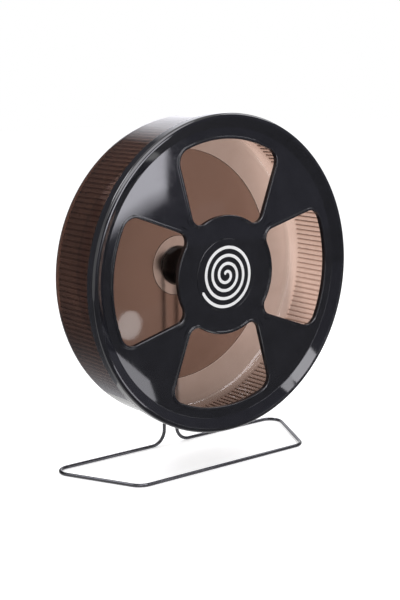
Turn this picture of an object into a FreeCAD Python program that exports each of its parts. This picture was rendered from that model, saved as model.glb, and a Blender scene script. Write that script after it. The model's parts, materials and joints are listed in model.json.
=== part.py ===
import FreeCAD
import Part
import math
import os
import types

import Sketcher
from FreeCAD import Placement, Rotation, Vector

# Running wheel for a small pet. A smoked drum with ribs inside and a black windowed cover
# turns on two ball bearings, on a bolt that a stand of one bent wire carries.
#
# Frame: +Z is up, the open front faces -Y, and the origin is on the floor under the middle.
# Along the axle, depth runs backwards from the plane of the cover's lip. Lengths are in
# millimetres and angles in degrees.

DIMENSIONS = {
    # Front cover: a dish with a rolled lip, a skirt over the drum and four windows
    "cover_radius": 140.0,  # outside of the skirt
    "cover_wall": 2.5,
    "cover_fit": 0.3,  # gap between the cover and the drum's rim
    "skirt_depth": 10.5,
    "lip_wall": 3.0,  # front of the lip to the drum's rim
    "lip_rounding": 2.8,
    "lip_inset": 4.0,  # outside of the skirt to the crest, where the cone inside the lip starts
    "cone_width": 8.5,  # crest to the cone's foot, where it meets the face
    "face_depth": 5.0,
    "locating_ring_wall": 1.8,
    "locating_ring_depth": 6.5,
    "snap_height": 0.5,  # bead on the drum that holds the skirt
    "snap_depth": 6.2,
    "snap_width": 2.0,
    "window_count": 4,
    "window_turn": -2.5,  # wheel's turn at rest, clockwise seen from the front
    "window_border": 9.5,  # cone's foot to a window's outer arc
    "window_inner_radius": 52.5,
    "window_side_offset": 21.4,  # from the axle square to a window's straight side
    "window_side_angle": 17.8,
    "window_outer_corner": 12.0,
    "window_inner_corner": 9.0,
    "bead_width": 2.5,  # raised edge round each window
    "bead_height": 1.0,
    "bead_flange": 1.0,
    # Badge in the middle of the cover, with a spiral line on it
    "badge_radius": 32.0,
    "badge_thickness": 0.8,
    "badge_recess": 0.6,
    "badge_fit": 0.15,
    "spiral_inner_radius": 1.4,
    "spiral_pitch": 7.1,
    "spiral_turns": 3.9,
    "spiral_end_angle": 205.0,  # outer end, anticlockwise from the right seen from the front
    "spiral_width": 2.7,
    "spiral_thickness": 0.2,
    # Drum
    "drum_wall": 2.0,
    "back_depth": 75.0,  # inner face of the back wall
    "disc_radius": 107.0,  # outside of the back wall's flat disc, which is thicker
    "disc_inner_radius": 27.5,  # thin middle of the back wall, round the hub
    "disc_wall": 3.6,
    "dish_depth": 6.7,  # how far the back wall comes forward at the tread
    "shoulder_rounding": 10.0,
    "rib_count": 180,
    "rib_height": 0.9,
    "rib_root_width": 1.9,
    "rib_tip_width": 1.1,
    "rib_front": 8.0,
    "rib_stop": 14.6,  # from the back wall to the ribs' end
    # Hub
    "hub_flange_radius": 18.0,
    "hub_flange_wall": 2.5,
    "hub_tube_radius": 13.5,
    "hub_shoulder_radius": 9.6,  # shoulder between the two bearings
    "hub_hole_fit": 0.2,
    "hub_rim": 0.5,  # tube past each bearing
    "cap_base_radius": 18.5,
    "cap_nose_radius": 15.0,
    "cap_length": 29.0,
    "cap_rounding": 12.0,
    "cap_nose_wall": 2.4,
    "cap_cavity_radius": 8.3,
    "cap_cavity_rounding": 3.0,
    "cap_fit": 0.1,
    "cap_end_gap": 0.5,
    # Ball bearings
    "bearing_bore_radius": 4.0,
    "bearing_outer_radius": 11.0,
    "bearing_width": 7.0,
    "bearing_spacing": 7.0,
    "bearing_overhang": 3.5,  # rear bearing past the hub's flange
    "inner_shoulder_radius": 6.05,
    "outer_shoulder_radius": 9.3,
    "ball_count": 7,
    "ball_radius": 1.985,
    "ball_pitch_radius": 7.5,
    "race_clearance": 0.05,
    "cage_half_wall": 0.9,
    "cage_width": 5.2,
    "cage_clearance": 0.1,
    "shield_thickness": 0.4,
    "shield_seat": 0.5,
    "shield_gap": 0.25,
    # Axle
    "bolt_fit": 0.03,
    "bolt_length": 50.0,
    "bolt_chamfer": 0.8,
    "bolt_head_height": 5.3,
    "hex_flats": 13.0,
    "washer_radius": 8.0,
    "washer_thickness": 1.6,
    "nut_height": 8.0,
    "nut_insert_radius": 5.6,
    "nut_insert_thickness": 2.2,
    "thrust_radius": 6.0,
    "thrust_thickness": 1.5,
    # Axle block on top of the stand
    "block_radius": 11.0,
    "block_thickness": 13.0,
    "block_rounding": 2.0,
    "block_bore_fit": 0.1,
    "socket_height": 4.5,  # top of the wire's sockets above the axle
    "socket_fit": 0.05,
    "socket_end_gap": 0.3,
    # Stand: one wire from socket to socket
    "axle_height": 174.9,
    "wire_diameter": 3.2,
    "upright_spacing": 14.6,
    "rear_width": 270.0,  # between the rear corners before bending
    "front_width": 186.0,
    "front_bar_depth": 6.7,
    "upright_bend": 14.0,
    "rear_bend": 12.0,
    "front_bend": 14.0,
}

FULL_TURN = 360.0
RIGHT_ANGLE = 90.0
SPIRAL_POINTS_PER_TURN = 16
ORIGIN_POINT = (-1, 1)
ACROSS_AXIS = -1
ALONG_AXIS = -2


class Size:
    """A number together with the sheet expression that gives it."""

    def __init__(self, value, text):
        self.value = value
        self.text = text

    def __add__(self, other):
        other = as_size(other)
        return Size(self.value + other.value, f"({self.text} + {other.text})")

    def __sub__(self, other):
        other = as_size(other)
        return Size(self.value - other.value, f"({self.text} - {other.text})")

    def __mul__(self, other):
        other = as_size(other)
        return Size(self.value * other.value, f"({self.text} * {other.text})")

    def __truediv__(self, other):
        other = as_size(other)
        return Size(self.value / other.value, f"({self.text} / {other.text})")

    def __neg__(self):
        return Size(-self.value, f"(0 - {self.text})")


def as_size(number):
    """The number as a Size, whatever it is."""
    if isinstance(number, Size):
        return number
    return Size(float(number), repr(float(number)))


def driving_sheet(doc):
    """Sheet of the driving dimensions, and a Size for each of them."""
    sheet = doc.addObject("Spreadsheet::Sheet", "Sizes")
    for row, (alias, value) in enumerate(DIMENSIONS.items(), start=1):
        sheet.set(f"A{row}", alias)
        sheet.set(f"B{row}", str(value))
        sheet.setAlias(f"B{row}", alias)
    doc.recompute()
    sizes = {alias: Size(float(sheet.get(alias)), f"Sizes.{alias}") for alias in DIMENSIONS}
    return types.SimpleNamespace(**sizes)


doc = FreeCAD.newDocument("running_wheel")
dim = driving_sheet(doc)
nodes = []

# Radii that follow from the cover inwards
skirt_inner_radius = dim.cover_radius - dim.cover_wall
drum_radius = skirt_inner_radius - dim.cover_fit
tread_radius = drum_radius - dim.drum_wall
locating_radius = tread_radius - dim.cover_fit
lip_crest_radius = dim.cover_radius - dim.lip_inset
cone_foot_radius = lip_crest_radius - dim.cone_width
window_outer_radius = cone_foot_radius - dim.window_border

# Depths along the axle, from the back wall of the drum
wall_rear = dim.back_depth + dim.drum_wall
disc_rear = dim.back_depth + dim.disc_wall
flange_rear = wall_rear + dim.hub_flange_wall
rear_bearing_rear = flange_rear + dim.bearing_overhang
rear_bearing_front = rear_bearing_rear - dim.bearing_width
front_bearing_rear = rear_bearing_front - dim.bearing_spacing
front_bearing_front = front_bearing_rear - dim.bearing_width
hub_front = front_bearing_front - dim.hub_rim
hub_rear = rear_bearing_rear + dim.hub_rim
nut_rear = front_bearing_front - dim.washer_thickness
nut_front = nut_rear - dim.nut_height
block_front = rear_bearing_rear + dim.thrust_thickness
block_rear = block_front + dim.block_thickness
head_front = block_rear + dim.washer_thickness
head_rear = head_front + dim.bolt_head_height
bolt_front = head_front - dim.bolt_length
wire_depth = block_front + dim.block_thickness / 2
lip_y = -(head_rear / 2)
bolt_radius = dim.bearing_bore_radius - dim.bolt_fit


def bind(item, path, size):
    """Ties one property of a document object to its sheet expression."""
    item.setExpression(path, as_size(size).text)


def new_body(node):
    """Body of one sub-part in the axle's frame: across, depth behind the lip, up."""
    body = doc.addObject("PartDesign::Body", node)
    body.AllowCompound = True
    body.Placement.Base = Vector(0, lip_y.value, dim.axle_height.value)
    bind(body, "Placement.Base.y", lip_y)
    bind(body, "Placement.Base.z", dim.axle_height)
    nodes.append(body)
    return body


def origin_feature(body, role):
    """Plane or axis of the body's own origin."""
    return next(item for item in body.Origin.OriginFeatures if item.Role == role)


def sketch_on(body, role, name, offset=None, turn=None):
    """Sketch on an origin plane, moved along its normal and turned about it."""
    sketch = body.newObject("Sketcher::SketchObject", name)
    sketch.AttachmentSupport = [(origin_feature(body, role), "")]
    sketch.MapMode = "FlatFace"
    lift = as_size(0 if offset is None else offset)
    angle = as_size(0 if turn is None else turn)
    rotation = Rotation(Vector(0, 0, 1), angle.value)
    sketch.AttachmentOffset = Placement(Vector(0, 0, lift.value), rotation)
    if offset is not None:
        bind(sketch, "AttachmentOffset.Base.z", lift)
    if turn is not None:
        bind(sketch, "AttachmentOffset.Rotation.Angle", angle * Size(1, "1 deg"))
    return sketch


def add_datum(sketch, kind, where, size):
    """Dimension of a sketch, bound to its size."""
    datum = as_size(size)
    index = sketch.addConstraint(Sketcher.Constraint(kind, *where, datum.value))
    name = f"datum{index}"
    sketch.renameConstraint(index, name)
    bind(sketch, f"Constraints.{name}", datum)


def place_point(sketch, geometry, position, across, along):
    """Fixes a sketch point at its distances from the origin; a plain 0 puts it on an axis."""
    for kind, axis, size in (("DistanceX", ALONG_AXIS, across), ("DistanceY", ACROSS_AXIS, along)):
        if isinstance(size, Size):
            add_datum(sketch, kind, (*ORIGIN_POINT, geometry, position), size)
        else:
            sketch.addConstraint(Sketcher.Constraint("PointOnObject", geometry, position, axis))


def closed_outline(sketch, corners):
    """Straight edges through corners (across, along) or (across, along, rounding)."""
    count = len(corners)
    points = [Vector(as_size(c[0]).value, as_size(c[1]).value, 0) for c in corners]
    heading = [(points[(i + 1) % count] - points[i]).normalize() for i in range(count)]
    trims = []
    for i, corner in enumerate(corners):
        turn = heading[i - 1].getAngle(heading[i])
        trims.append(as_size(corner[2]).value * math.tan(turn / 2) if len(corner) > 2 else 0.0)
    lines = []
    for i in range(count):
        start = points[i] + heading[i] * trims[i]
        end = points[(i + 1) % count] - heading[i] * trims[(i + 1) % count]
        lines.append(sketch.addGeometry(Part.LineSegment(start, end), False))
    for i, corner in enumerate(corners):
        if len(corner) > 2:
            round_corner(sketch, lines[i - 1], lines[i], points[i], corner)
        else:
            sketch.addConstraint(Sketcher.Constraint("Coincident", lines[i - 1], 2, lines[i], 1))
            place_point(sketch, lines[i], 1, corner[0], corner[1])


def round_corner(sketch, before, after, point, corner):
    """Tangent arc between two lines that still meet, extended, at the corner's own point."""
    across, along, rounding = corner
    arriving = sketch.Geometry[before].EndPoint
    leaving = sketch.Geometry[after].StartPoint
    heading = (point - arriving).normalize()
    leftward = heading.cross(leaving - point).z > 0
    side = Vector(-heading.y, heading.x, 0) * (1 if leftward else -1)
    centre = arriving + side * as_size(rounding).value
    first, last = (arriving, leaving) if leftward else (leaving, arriving)
    angles = [math.atan2(end.y - centre.y, end.x - centre.x) for end in (first, last)]
    circle = Part.Circle(centre, Vector(0, 0, 1), as_size(rounding).value)
    arc = sketch.addGeometry(Part.ArcOfCircle(circle, *angles), False)
    tip = sketch.addGeometry(Part.Point(point), True)
    begin, end = (1, 2) if leftward else (2, 1)
    sketch.addConstraint(Sketcher.Constraint("Tangent", before, 2, arc, begin))
    sketch.addConstraint(Sketcher.Constraint("Tangent", arc, end, after, 1))
    sketch.addConstraint(Sketcher.Constraint("PointOnObject", tip, 1, before))
    sketch.addConstraint(Sketcher.Constraint("PointOnObject", tip, 1, after))
    place_point(sketch, tip, 1, across, along)
    add_datum(sketch, "Radius", (arc,), rounding)


def revolve(body, name, *outlines):
    """Solid of revolution about the axle from outlines of (radius, depth)."""
    sketch = sketch_on(body, "XY_Plane", f"{name}_profile")
    for corners in outlines:
        closed_outline(sketch, corners)
    feature = body.newObject("PartDesign::Revolution", name)
    feature.Profile = sketch
    feature.ReferenceAxis = (sketch, ["V_Axis"])
    feature.Angle = FULL_TURN
    return feature


def ring(body, name, inner, outer, front, rear):
    """Plain ring about the axle."""
    corners = [(inner, front), (outer, front), (outer, rear), (inner, rear)]
    return revolve(body, name, corners)


def pad_backwards(body, name, sketch, length):
    """Pad of a sketch that faces forwards, going backwards along the axle."""
    feature = body.newObject("PartDesign::Pad", name)
    feature.Profile = sketch
    feature.Length = length.value
    feature.Reversed = True
    bind(feature, "Length", length)
    return feature


def cut_through(body, name, sketch, outwards=False):
    """Pocket from a sketch through everything below or above it; it has to take material away."""
    doc.recompute()
    before = body.Shape.Volume
    feature = body.newObject("PartDesign::Pocket", name)
    feature.Profile = sketch
    feature.Type = "ThroughAll"
    feature.Reversed = outwards
    doc.recompute()
    if body.Shape.Volume >= before:
        raise ValueError(f"{name} cuts nothing")
    return feature


def round_the_axle(body, name, feature, count):
    """Copies of a feature spread evenly round the axle."""
    pattern = body.newObject("PartDesign::PolarPattern", name)
    pattern.Originals = [feature]
    pattern.Axis = (origin_feature(body, "Y_Axis"), [""])
    pattern.Angle = FULL_TURN
    pattern.Occurrences = int(count.value)
    bind(pattern, "Occurrences", count)
    body.Tip = pattern
    return pattern


def hexagon_corners(flats):
    """Corners of a hexagon from its width across flats, with two flats upright."""
    half = flats / 2
    side_half = flats / (2 * math.sqrt(3))
    tip = flats / math.sqrt(3)
    zero = flats * 0
    return [(half, -side_half), (half, side_half), (zero, tip),
            (-half, side_half), (-half, -side_half), (zero, -tip)]


def window_outline(sketch, grow):
    """Window between two arcs about the axle and two straight sides, grown outwards all round.

    A side lies at a given distance from the axle and leans away from the window's middle line.
    Each corner arc touches its side and its big arc.
    """
    outer = window_outer_radius + grow
    inner = dim.window_inner_radius - grow
    offset = dim.window_side_offset + grow
    corners = {"outer": dim.window_outer_corner + grow, "inner": dim.window_inner_corner + grow}
    lean = math.radians(dim.window_side_angle.value)
    normal = Vector(math.cos(lean), -math.sin(lean), 0)
    upward = Vector(math.sin(lean), math.cos(lean), 0)
    up = Vector(0, 0, 1)

    def mirrored(point):
        return Vector(-point.x, point.y, 0)

    def arc(centre, radius, start, end):
        angles = [math.atan2(p.y - centre.y, p.x - centre.x) for p in (start, end)]
        return sketch.addGeometry(Part.ArcOfCircle(Part.Circle(centre, up, radius), *angles), False)

    spots = {}
    for end, reach, big in (("outer", outer - corners["outer"], outer),
                            ("inner", inner + corners["inner"], inner)):
        small = corners[end].value
        from_side = offset.value - small
        along = math.sqrt(reach.value ** 2 - from_side ** 2)
        centre = normal * from_side + upward * along
        spots[end] = (centre, centre + normal * small, centre * (big.value / reach.value))
    (outer_c, outer_s, outer_b), (inner_c, inner_s, inner_b) = spots["outer"], spots["inner"]
    axle = Vector(0, 0, 0)
    right = sketch.addGeometry(Part.LineSegment(inner_s, outer_s), False)
    left = sketch.addGeometry(Part.LineSegment(mirrored(outer_s), mirrored(inner_s)), False)
    top = arc(axle, outer.value, outer_b, mirrored(outer_b))
    bottom = arc(axle, inner.value, inner_b, mirrored(inner_b))
    top_right = arc(outer_c, corners["outer"].value, outer_s, outer_b)
    top_left = arc(mirrored(outer_c), corners["outer"].value, mirrored(outer_b), mirrored(outer_s))
    low_left = arc(mirrored(inner_c), corners["inner"].value, mirrored(inner_s), mirrored(inner_b))
    low_right = arc(inner_c, corners["inner"].value, inner_b, inner_s)
    joins = [(right, 2, top_right, 1), (top_right, 2, top, 1), (top, 2, top_left, 1),
             (top_left, 2, left, 1), (left, 2, low_left, 1), (low_left, 2, bottom, 2),
             (bottom, 1, low_right, 1), (low_right, 2, right, 1)]
    for join in joins:
        sketch.addConstraint(Sketcher.Constraint("Tangent", *join))
    for big_arc, radius in ((top, outer), (bottom, inner)):
        sketch.addConstraint(Sketcher.Constraint("Coincident", big_arc, 3, *ORIGIN_POINT))
        add_datum(sketch, "Radius", (big_arc,), radius)
    for small_arc in (top_right, top_left):
        add_datum(sketch, "Radius", (small_arc,), corners["outer"])
    for small_arc in (low_right, low_left):
        add_datum(sketch, "Radius", (small_arc,), corners["inner"])
    for side in (right, left):
        add_datum(sketch, "Distance", (*ORIGIN_POINT, side), offset)
    degree = Size(math.radians(1), "1 deg")
    add_datum(sketch, "Angle", (right,), (Size(RIGHT_ANGLE, "90") - dim.window_side_angle) * degree)
    add_datum(sketch, "Angle", (left,), -(Size(RIGHT_ANGLE, "90") - dim.window_side_angle) * degree)


def front_cover():
    """Black dish with a rolled lip, a U channel for the drum's rim and four beaded windows."""
    body = new_body("front_cover")
    face_rear = dim.face_depth + dim.cover_wall
    recess_radius = dim.badge_radius + dim.badge_fit
    recess_floor = dim.face_depth + dim.badge_recess
    ring_inner = locating_radius - dim.locating_ring_wall
    cone_rear = dim.face_depth * (lip_crest_radius - ring_inner) / dim.cone_width + dim.cover_wall
    groove_radius = skirt_inner_radius + dim.snap_height
    groove_front = dim.snap_depth - dim.cover_fit
    groove_rear = dim.snap_depth + dim.snap_width + dim.cover_fit
    revolve(body, "cover_shell", [
        (0, recess_floor),
        (recess_radius, recess_floor),
        (recess_radius, dim.face_depth),
        (cone_foot_radius, dim.face_depth),
        (lip_crest_radius, 0),
        (dim.cover_radius, 0, dim.lip_rounding),
        (dim.cover_radius, dim.skirt_depth),
        (skirt_inner_radius, dim.skirt_depth),
        (skirt_inner_radius, groove_rear),
        (groove_radius, groove_rear),
        (groove_radius, groove_front),
        (skirt_inner_radius, groove_front),
        (skirt_inner_radius, dim.lip_wall),
        (locating_radius, dim.lip_wall),
        (locating_radius, dim.locating_ring_depth),
        (ring_inner, dim.locating_ring_depth),
        (ring_inner, cone_rear),
        (cone_foot_radius, face_rear),
        (0, face_rear),
    ])
    bead_front = dim.face_depth - dim.bead_height
    bead_sketch = sketch_on(body, "XZ_Plane", "bead_outline", -bead_front, dim.window_turn)
    window_outline(bead_sketch, dim.bead_width)
    bead_length = dim.bead_height + dim.cover_wall + dim.bead_flange
    bead = pad_backwards(body, "window_bead", bead_sketch, bead_length)
    round_the_axle(body, "window_beads", bead, dim.window_count)
    window_sketch = sketch_on(body, "XZ_Plane", "window_edge", turn=dim.window_turn)
    window_outline(window_sketch, as_size(0))
    window = cut_through(body, "window", window_sketch)
    round_the_axle(body, "windows", window, dim.window_count)


def hub_badge():
    """Round badge in the recess of the cover."""
    body = new_body("hub_badge")
    floor = dim.face_depth + dim.badge_recess
    front = floor - dim.badge_thickness
    revolve(body, "badge_disc", [
        (0, front), (dim.badge_radius, front), (dim.badge_radius, floor), (0, floor)])


def spiral_inlay():
    """Flat spiral line on the badge, winding outwards clockwise seen from the front.

    The radius grows by one pitch a turn; the line's edges lie half its width to each side.
    """
    turns = dim.spiral_turns.value
    steps = round(turns * SPIRAL_POINTS_PER_TURN)
    outer_angle = math.radians(dim.spiral_end_angle.value)

    def edge(side):
        points = []
        for step in range(steps + 1):
            turned = turns * step / steps
            radius = dim.spiral_inner_radius.value + dim.spiral_pitch.value * turned + side
            angle = outer_angle + 2 * math.pi * (turns - turned)
            points.append(Vector(radius * math.cos(angle), 0, radius * math.sin(angle)))
        curve = Part.BSplineCurve()
        curve.interpolate(points)
        return curve.toShape(), points[0], points[-1]

    half_width = dim.spiral_width.value / 2
    inside, inside_start, inside_end = edge(-half_width)
    outside, outside_start, outside_end = edge(half_width)
    ends = [Part.makeLine(inside_start, outside_start), Part.makeLine(outside_end, inside_end)]
    face = Part.Face(Part.Wire(Part.__sortEdges__([inside, outside, *ends])))
    inlay = doc.addObject("Part::Feature", "spiral_inlay")
    inlay.Shape = face.extrude(Vector(0, -dim.spiral_thickness.value, 0))
    badge_front = dim.face_depth + dim.badge_recess - dim.badge_thickness
    inlay.Placement.Base = Vector(0, (lip_y + badge_front).value, dim.axle_height.value)
    bind(inlay, "Placement.Base.y", lip_y + badge_front)
    bind(inlay, "Placement.Base.z", dim.axle_height)
    nodes.append(inlay)


def drum():
    """Smoked drum: ribbed tread, rounded shoulder, dished back wall with a thick flat disc."""
    body = new_body("drum")
    dish_slope = dim.dish_depth / (tread_radius - dim.disc_radius)
    corner_depth = dim.back_depth - dim.dish_depth
    outer_corner_depth = wall_rear - dish_slope * (drum_radius - dim.disc_radius)
    hole_radius = dim.hub_tube_radius + dim.hub_hole_fit
    snap_radius = drum_radius + dim.snap_height
    snap_ramp = dim.snap_width / 4
    revolve(body, "drum_shell", [
        (tread_radius, dim.lip_wall),
        (drum_radius, dim.lip_wall),
        (drum_radius, dim.snap_depth),
        (snap_radius, dim.snap_depth + snap_ramp),
        (snap_radius, dim.snap_depth + dim.snap_width - snap_ramp),
        (drum_radius, dim.snap_depth + dim.snap_width),
        (drum_radius, outer_corner_depth, dim.shoulder_rounding + dim.drum_wall),
        (dim.disc_radius, wall_rear),
        (dim.disc_radius, disc_rear),
        (dim.disc_inner_radius, disc_rear),
        (dim.disc_inner_radius, wall_rear),
        (hole_radius, wall_rear),
        (hole_radius, dim.back_depth),
        (dim.disc_radius, dim.back_depth),
        (tread_radius, corner_depth, dim.shoulder_rounding),
    ])
    rib_sketch = sketch_on(body, "XZ_Plane", "rib_section", -dim.rib_front)
    rib_root = tread_radius + dim.drum_wall / 2
    rib_tip = tread_radius - dim.rib_height
    closed_outline(rib_sketch, [
        (rib_tip, -(dim.rib_tip_width / 2)),
        (rib_root, -(dim.rib_root_width / 2)),
        (rib_root, dim.rib_root_width / 2),
        (rib_tip, dim.rib_tip_width / 2),
    ])
    rib_length = dim.back_depth - dim.rib_stop - dim.rib_front
    rib = pad_backwards(body, "rib", rib_sketch, rib_length)
    round_the_axle(body, "ribs", rib, dim.rib_count)


def bearing_hub():
    """Hub behind the wall: flange, and a tube through the wall with two bearing seats."""
    body = new_body("bearing_hub")
    revolve(body, "hub_shell", [
        (dim.bearing_outer_radius, hub_front),
        (dim.hub_tube_radius, hub_front),
        (dim.hub_tube_radius, wall_rear),
        (dim.hub_flange_radius, wall_rear),
        (dim.hub_flange_radius, flange_rear),
        (dim.hub_tube_radius, flange_rear),
        (dim.hub_tube_radius, hub_rear),
        (dim.bearing_outer_radius, hub_rear),
        (dim.bearing_outer_radius, rear_bearing_front),
        (dim.hub_shoulder_radius, rear_bearing_front),
        (dim.hub_shoulder_radius, front_bearing_rear),
        (dim.bearing_outer_radius, front_bearing_rear),
    ])


def hub_cap():
    """Black domed cap that screws on the hub's tube and clamps the drum's wall."""
    body = new_body("hub_cap")
    nose = dim.back_depth - dim.cap_length
    cavity_end = nose + dim.cap_nose_wall
    seat_radius = dim.hub_tube_radius + dim.cap_fit
    seat_depth = hub_front - dim.cap_end_gap
    revolve(body, "cap_shell", [
        (0, nose),
        (dim.cap_nose_radius, nose, dim.cap_rounding),
        (dim.cap_base_radius, dim.back_depth),
        (seat_radius, dim.back_depth),
        (seat_radius, seat_depth),
        (dim.cap_cavity_radius, seat_depth),
        (dim.cap_cavity_radius, cavity_end, dim.cap_cavity_rounding),
        (0, cavity_end),
    ])


def race_groove(body, name, middle):
    """Round groove for the balls, turned into a bearing ring."""
    doc.recompute()
    before = body.Shape.Volume
    sketch = sketch_on(body, "XY_Plane", f"{name}_profile")
    radius = dim.ball_radius + dim.race_clearance
    centre = Vector(dim.ball_pitch_radius.value, middle.value, 0)
    circle = sketch.addGeometry(Part.Circle(centre, Vector(0, 0, 1), radius.value), False)
    add_datum(sketch, "Radius", (circle,), radius)
    place_point(sketch, circle, 3, dim.ball_pitch_radius, middle)
    groove = body.newObject("PartDesign::Groove", name)
    groove.Profile = sketch
    groove.ReferenceAxis = (sketch, ["V_Axis"])
    groove.Angle = FULL_TURN
    doc.recompute()
    if body.Shape.Volume >= before:
        raise ValueError(f"{name} cuts nothing")


def bearing_balls(place, middle):
    """The balls of one bearing, evenly spread on their pitch circle."""
    balls = []
    count = int(dim.ball_count.value)
    for index in range(count):
        ball = doc.addObject("Part::Sphere", f"{place}_ball_{index + 1}")
        angle = FULL_TURN * index / count
        turned = math.radians(angle)
        across = dim.ball_pitch_radius * Size(math.cos(turned), f"cos({angle} deg)")
        height = dim.ball_pitch_radius * Size(math.sin(turned), f"sin({angle} deg)") + dim.axle_height
        depth = lip_y + middle
        ball.Radius = dim.ball_radius.value
        ball.Placement.Base = Vector(across.value, depth.value, height.value)
        bind(ball, "Radius", dim.ball_radius)
        for axis, size in (("x", across), ("y", depth), ("z", height)):
            bind(ball, f"Placement.Base.{axis}", size)
        balls.append(ball)
    group = doc.addObject("Part::Compound", f"{place}_balls")
    group.Links = balls
    nodes.append(group)


def bearing_cage(place, middle):
    """Ring with a round hole through it for each ball."""
    body = new_body(f"{place}_cage")
    half_width = dim.cage_width / 2
    ring(body, f"{place}_cage_ring", dim.ball_pitch_radius - dim.cage_half_wall,
         dim.ball_pitch_radius + dim.cage_half_wall, middle - half_width, middle + half_width)
    sketch = sketch_on(body, "YZ_Plane", f"{place}_cage_pocket_outline")
    radius = dim.ball_radius + dim.cage_clearance
    centre = Vector(middle.value, 0, 0)
    circle = sketch.addGeometry(Part.Circle(centre, Vector(0, 0, 1), radius.value), False)
    add_datum(sketch, "Radius", (circle,), radius)
    place_point(sketch, circle, 3, middle, 0)
    pocket = cut_through(body, f"{place}_cage_pocket", sketch, outwards=True)
    round_the_axle(body, f"{place}_cage_pockets", pocket, dim.ball_count)


def ball_bearing(place, front):
    """Shielded ball bearing: two grooved rings, two shields, a cage and its balls."""
    rear = front + dim.bearing_width
    middle = front + dim.bearing_width / 2
    shield_radius = dim.outer_shoulder_radius + dim.shield_seat
    shield_inner = dim.inner_shoulder_radius + dim.shield_gap
    inner = new_body(f"{place}_inner_ring")
    ring(inner, f"{place}_inner_blank", dim.bearing_bore_radius, dim.inner_shoulder_radius, front, rear)
    race_groove(inner, f"{place}_inner_race", middle)
    outer = new_body(f"{place}_outer_ring")
    revolve(outer, f"{place}_outer_blank", [
        (shield_radius, front),
        (dim.bearing_outer_radius, front),
        (dim.bearing_outer_radius, rear),
        (shield_radius, rear),
        (shield_radius, rear - dim.shield_thickness),
        (dim.outer_shoulder_radius, rear - dim.shield_thickness),
        (dim.outer_shoulder_radius, front + dim.shield_thickness),
        (shield_radius, front + dim.shield_thickness),
    ])
    race_groove(outer, f"{place}_outer_race", middle)
    shields = new_body(f"{place}_shields")
    outlines = []
    for shield_front in (front, rear - dim.shield_thickness):
        shield_rear = shield_front + dim.shield_thickness
        outlines.append([(shield_inner, shield_front), (shield_radius, shield_front),
                         (shield_radius, shield_rear), (shield_inner, shield_rear)])
    revolve(shields, f"{place}_shield_pair", *outlines)
    bearing_cage(place, middle)
    bearing_balls(place, middle)


def axle_bolt():
    """Hexagon bolt through the block, the bearings and the lock nut."""
    body = new_body("axle_bolt")
    revolve(body, "bolt_shank", [
        (0, bolt_front),
        (bolt_radius - dim.bolt_chamfer, bolt_front),
        (bolt_radius, bolt_front + dim.bolt_chamfer),
        (bolt_radius, head_front),
        (0, head_front),
    ])
    head_sketch = sketch_on(body, "XZ_Plane", "bolt_head_outline", -head_front)
    closed_outline(head_sketch, hexagon_corners(dim.hex_flats))
    pad_backwards(body, "bolt_head", head_sketch, dim.bolt_head_height)


def lock_nut():
    """Hexagon nut with a counterbore at the front for its locking ring."""
    body = new_body("lock_nut")
    sketch = sketch_on(body, "XZ_Plane", "nut_outline", -nut_front)
    closed_outline(sketch, hexagon_corners(dim.hex_flats))
    pad_backwards(body, "nut_blank", sketch, dim.nut_height)
    doc.recompute()
    before = body.Shape.Volume
    bore_radius = bolt_radius + dim.bolt_fit
    insert_rear = nut_front + dim.nut_insert_thickness
    profile = sketch_on(body, "XY_Plane", "nut_bore_profile")
    closed_outline(profile, [
        (0, nut_front),
        (dim.nut_insert_radius, nut_front),
        (dim.nut_insert_radius, insert_rear),
        (bore_radius, insert_rear),
        (bore_radius, nut_rear),
        (0, nut_rear),
    ])
    bore = body.newObject("PartDesign::Groove", "nut_bore")
    bore.Profile = profile
    bore.ReferenceAxis = (profile, ["V_Axis"])
    bore.Angle = FULL_TURN
    doc.recompute()
    if body.Shape.Volume >= before:
        raise ValueError("nut_bore cuts nothing")
    insert = new_body("nut_insert")
    ring(insert, "insert_ring", bore_radius, dim.nut_insert_radius, nut_front, insert_rear)


def axle_stack():
    """Washers and sleeve that the bolt clamps between the block and the lock nut."""
    bore_radius = dim.bearing_bore_radius
    head_washer = new_body("head_washer")
    ring(head_washer, "head_washer_ring", bore_radius, dim.washer_radius, block_rear, head_front)
    thrust = new_body("thrust_washer")
    ring(thrust, "thrust_ring", bore_radius, dim.thrust_radius, rear_bearing_rear, block_front)
    sleeve = new_body("spacer_sleeve")
    ring(sleeve, "sleeve_tube", bore_radius, dim.inner_shoulder_radius,
         front_bearing_rear, rear_bearing_front)
    nut_washer = new_body("nut_washer")
    ring(nut_washer, "nut_washer_ring", bore_radius, dim.thrust_radius, nut_rear, front_bearing_front)


def axle_block():
    """Round block that holds the bolt and takes the wire's two ends from below."""
    body = new_body("axle_block")
    bore_radius = bolt_radius + dim.block_bore_fit
    revolve(body, "block_shell", [
        (bore_radius, block_front),
        (dim.block_radius, block_front, dim.block_rounding),
        (dim.block_radius, block_rear, dim.block_rounding),
        (bore_radius, block_rear),
    ])
    sketch = sketch_on(body, "XY_Plane", "socket_outline", dim.socket_height)
    radius = dim.wire_diameter / 2 + dim.socket_fit
    half_spacing = dim.upright_spacing / 2
    for across in (-half_spacing, half_spacing):
        centre = Vector(across.value, wire_depth.value, 0)
        circle = sketch.addGeometry(Part.Circle(centre, Vector(0, 0, 1), radius.value), False)
        add_datum(sketch, "Radius", (circle,), radius)
        place_point(sketch, circle, 3, across, wire_depth)
    cut_through(body, "sockets", sketch)


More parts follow.
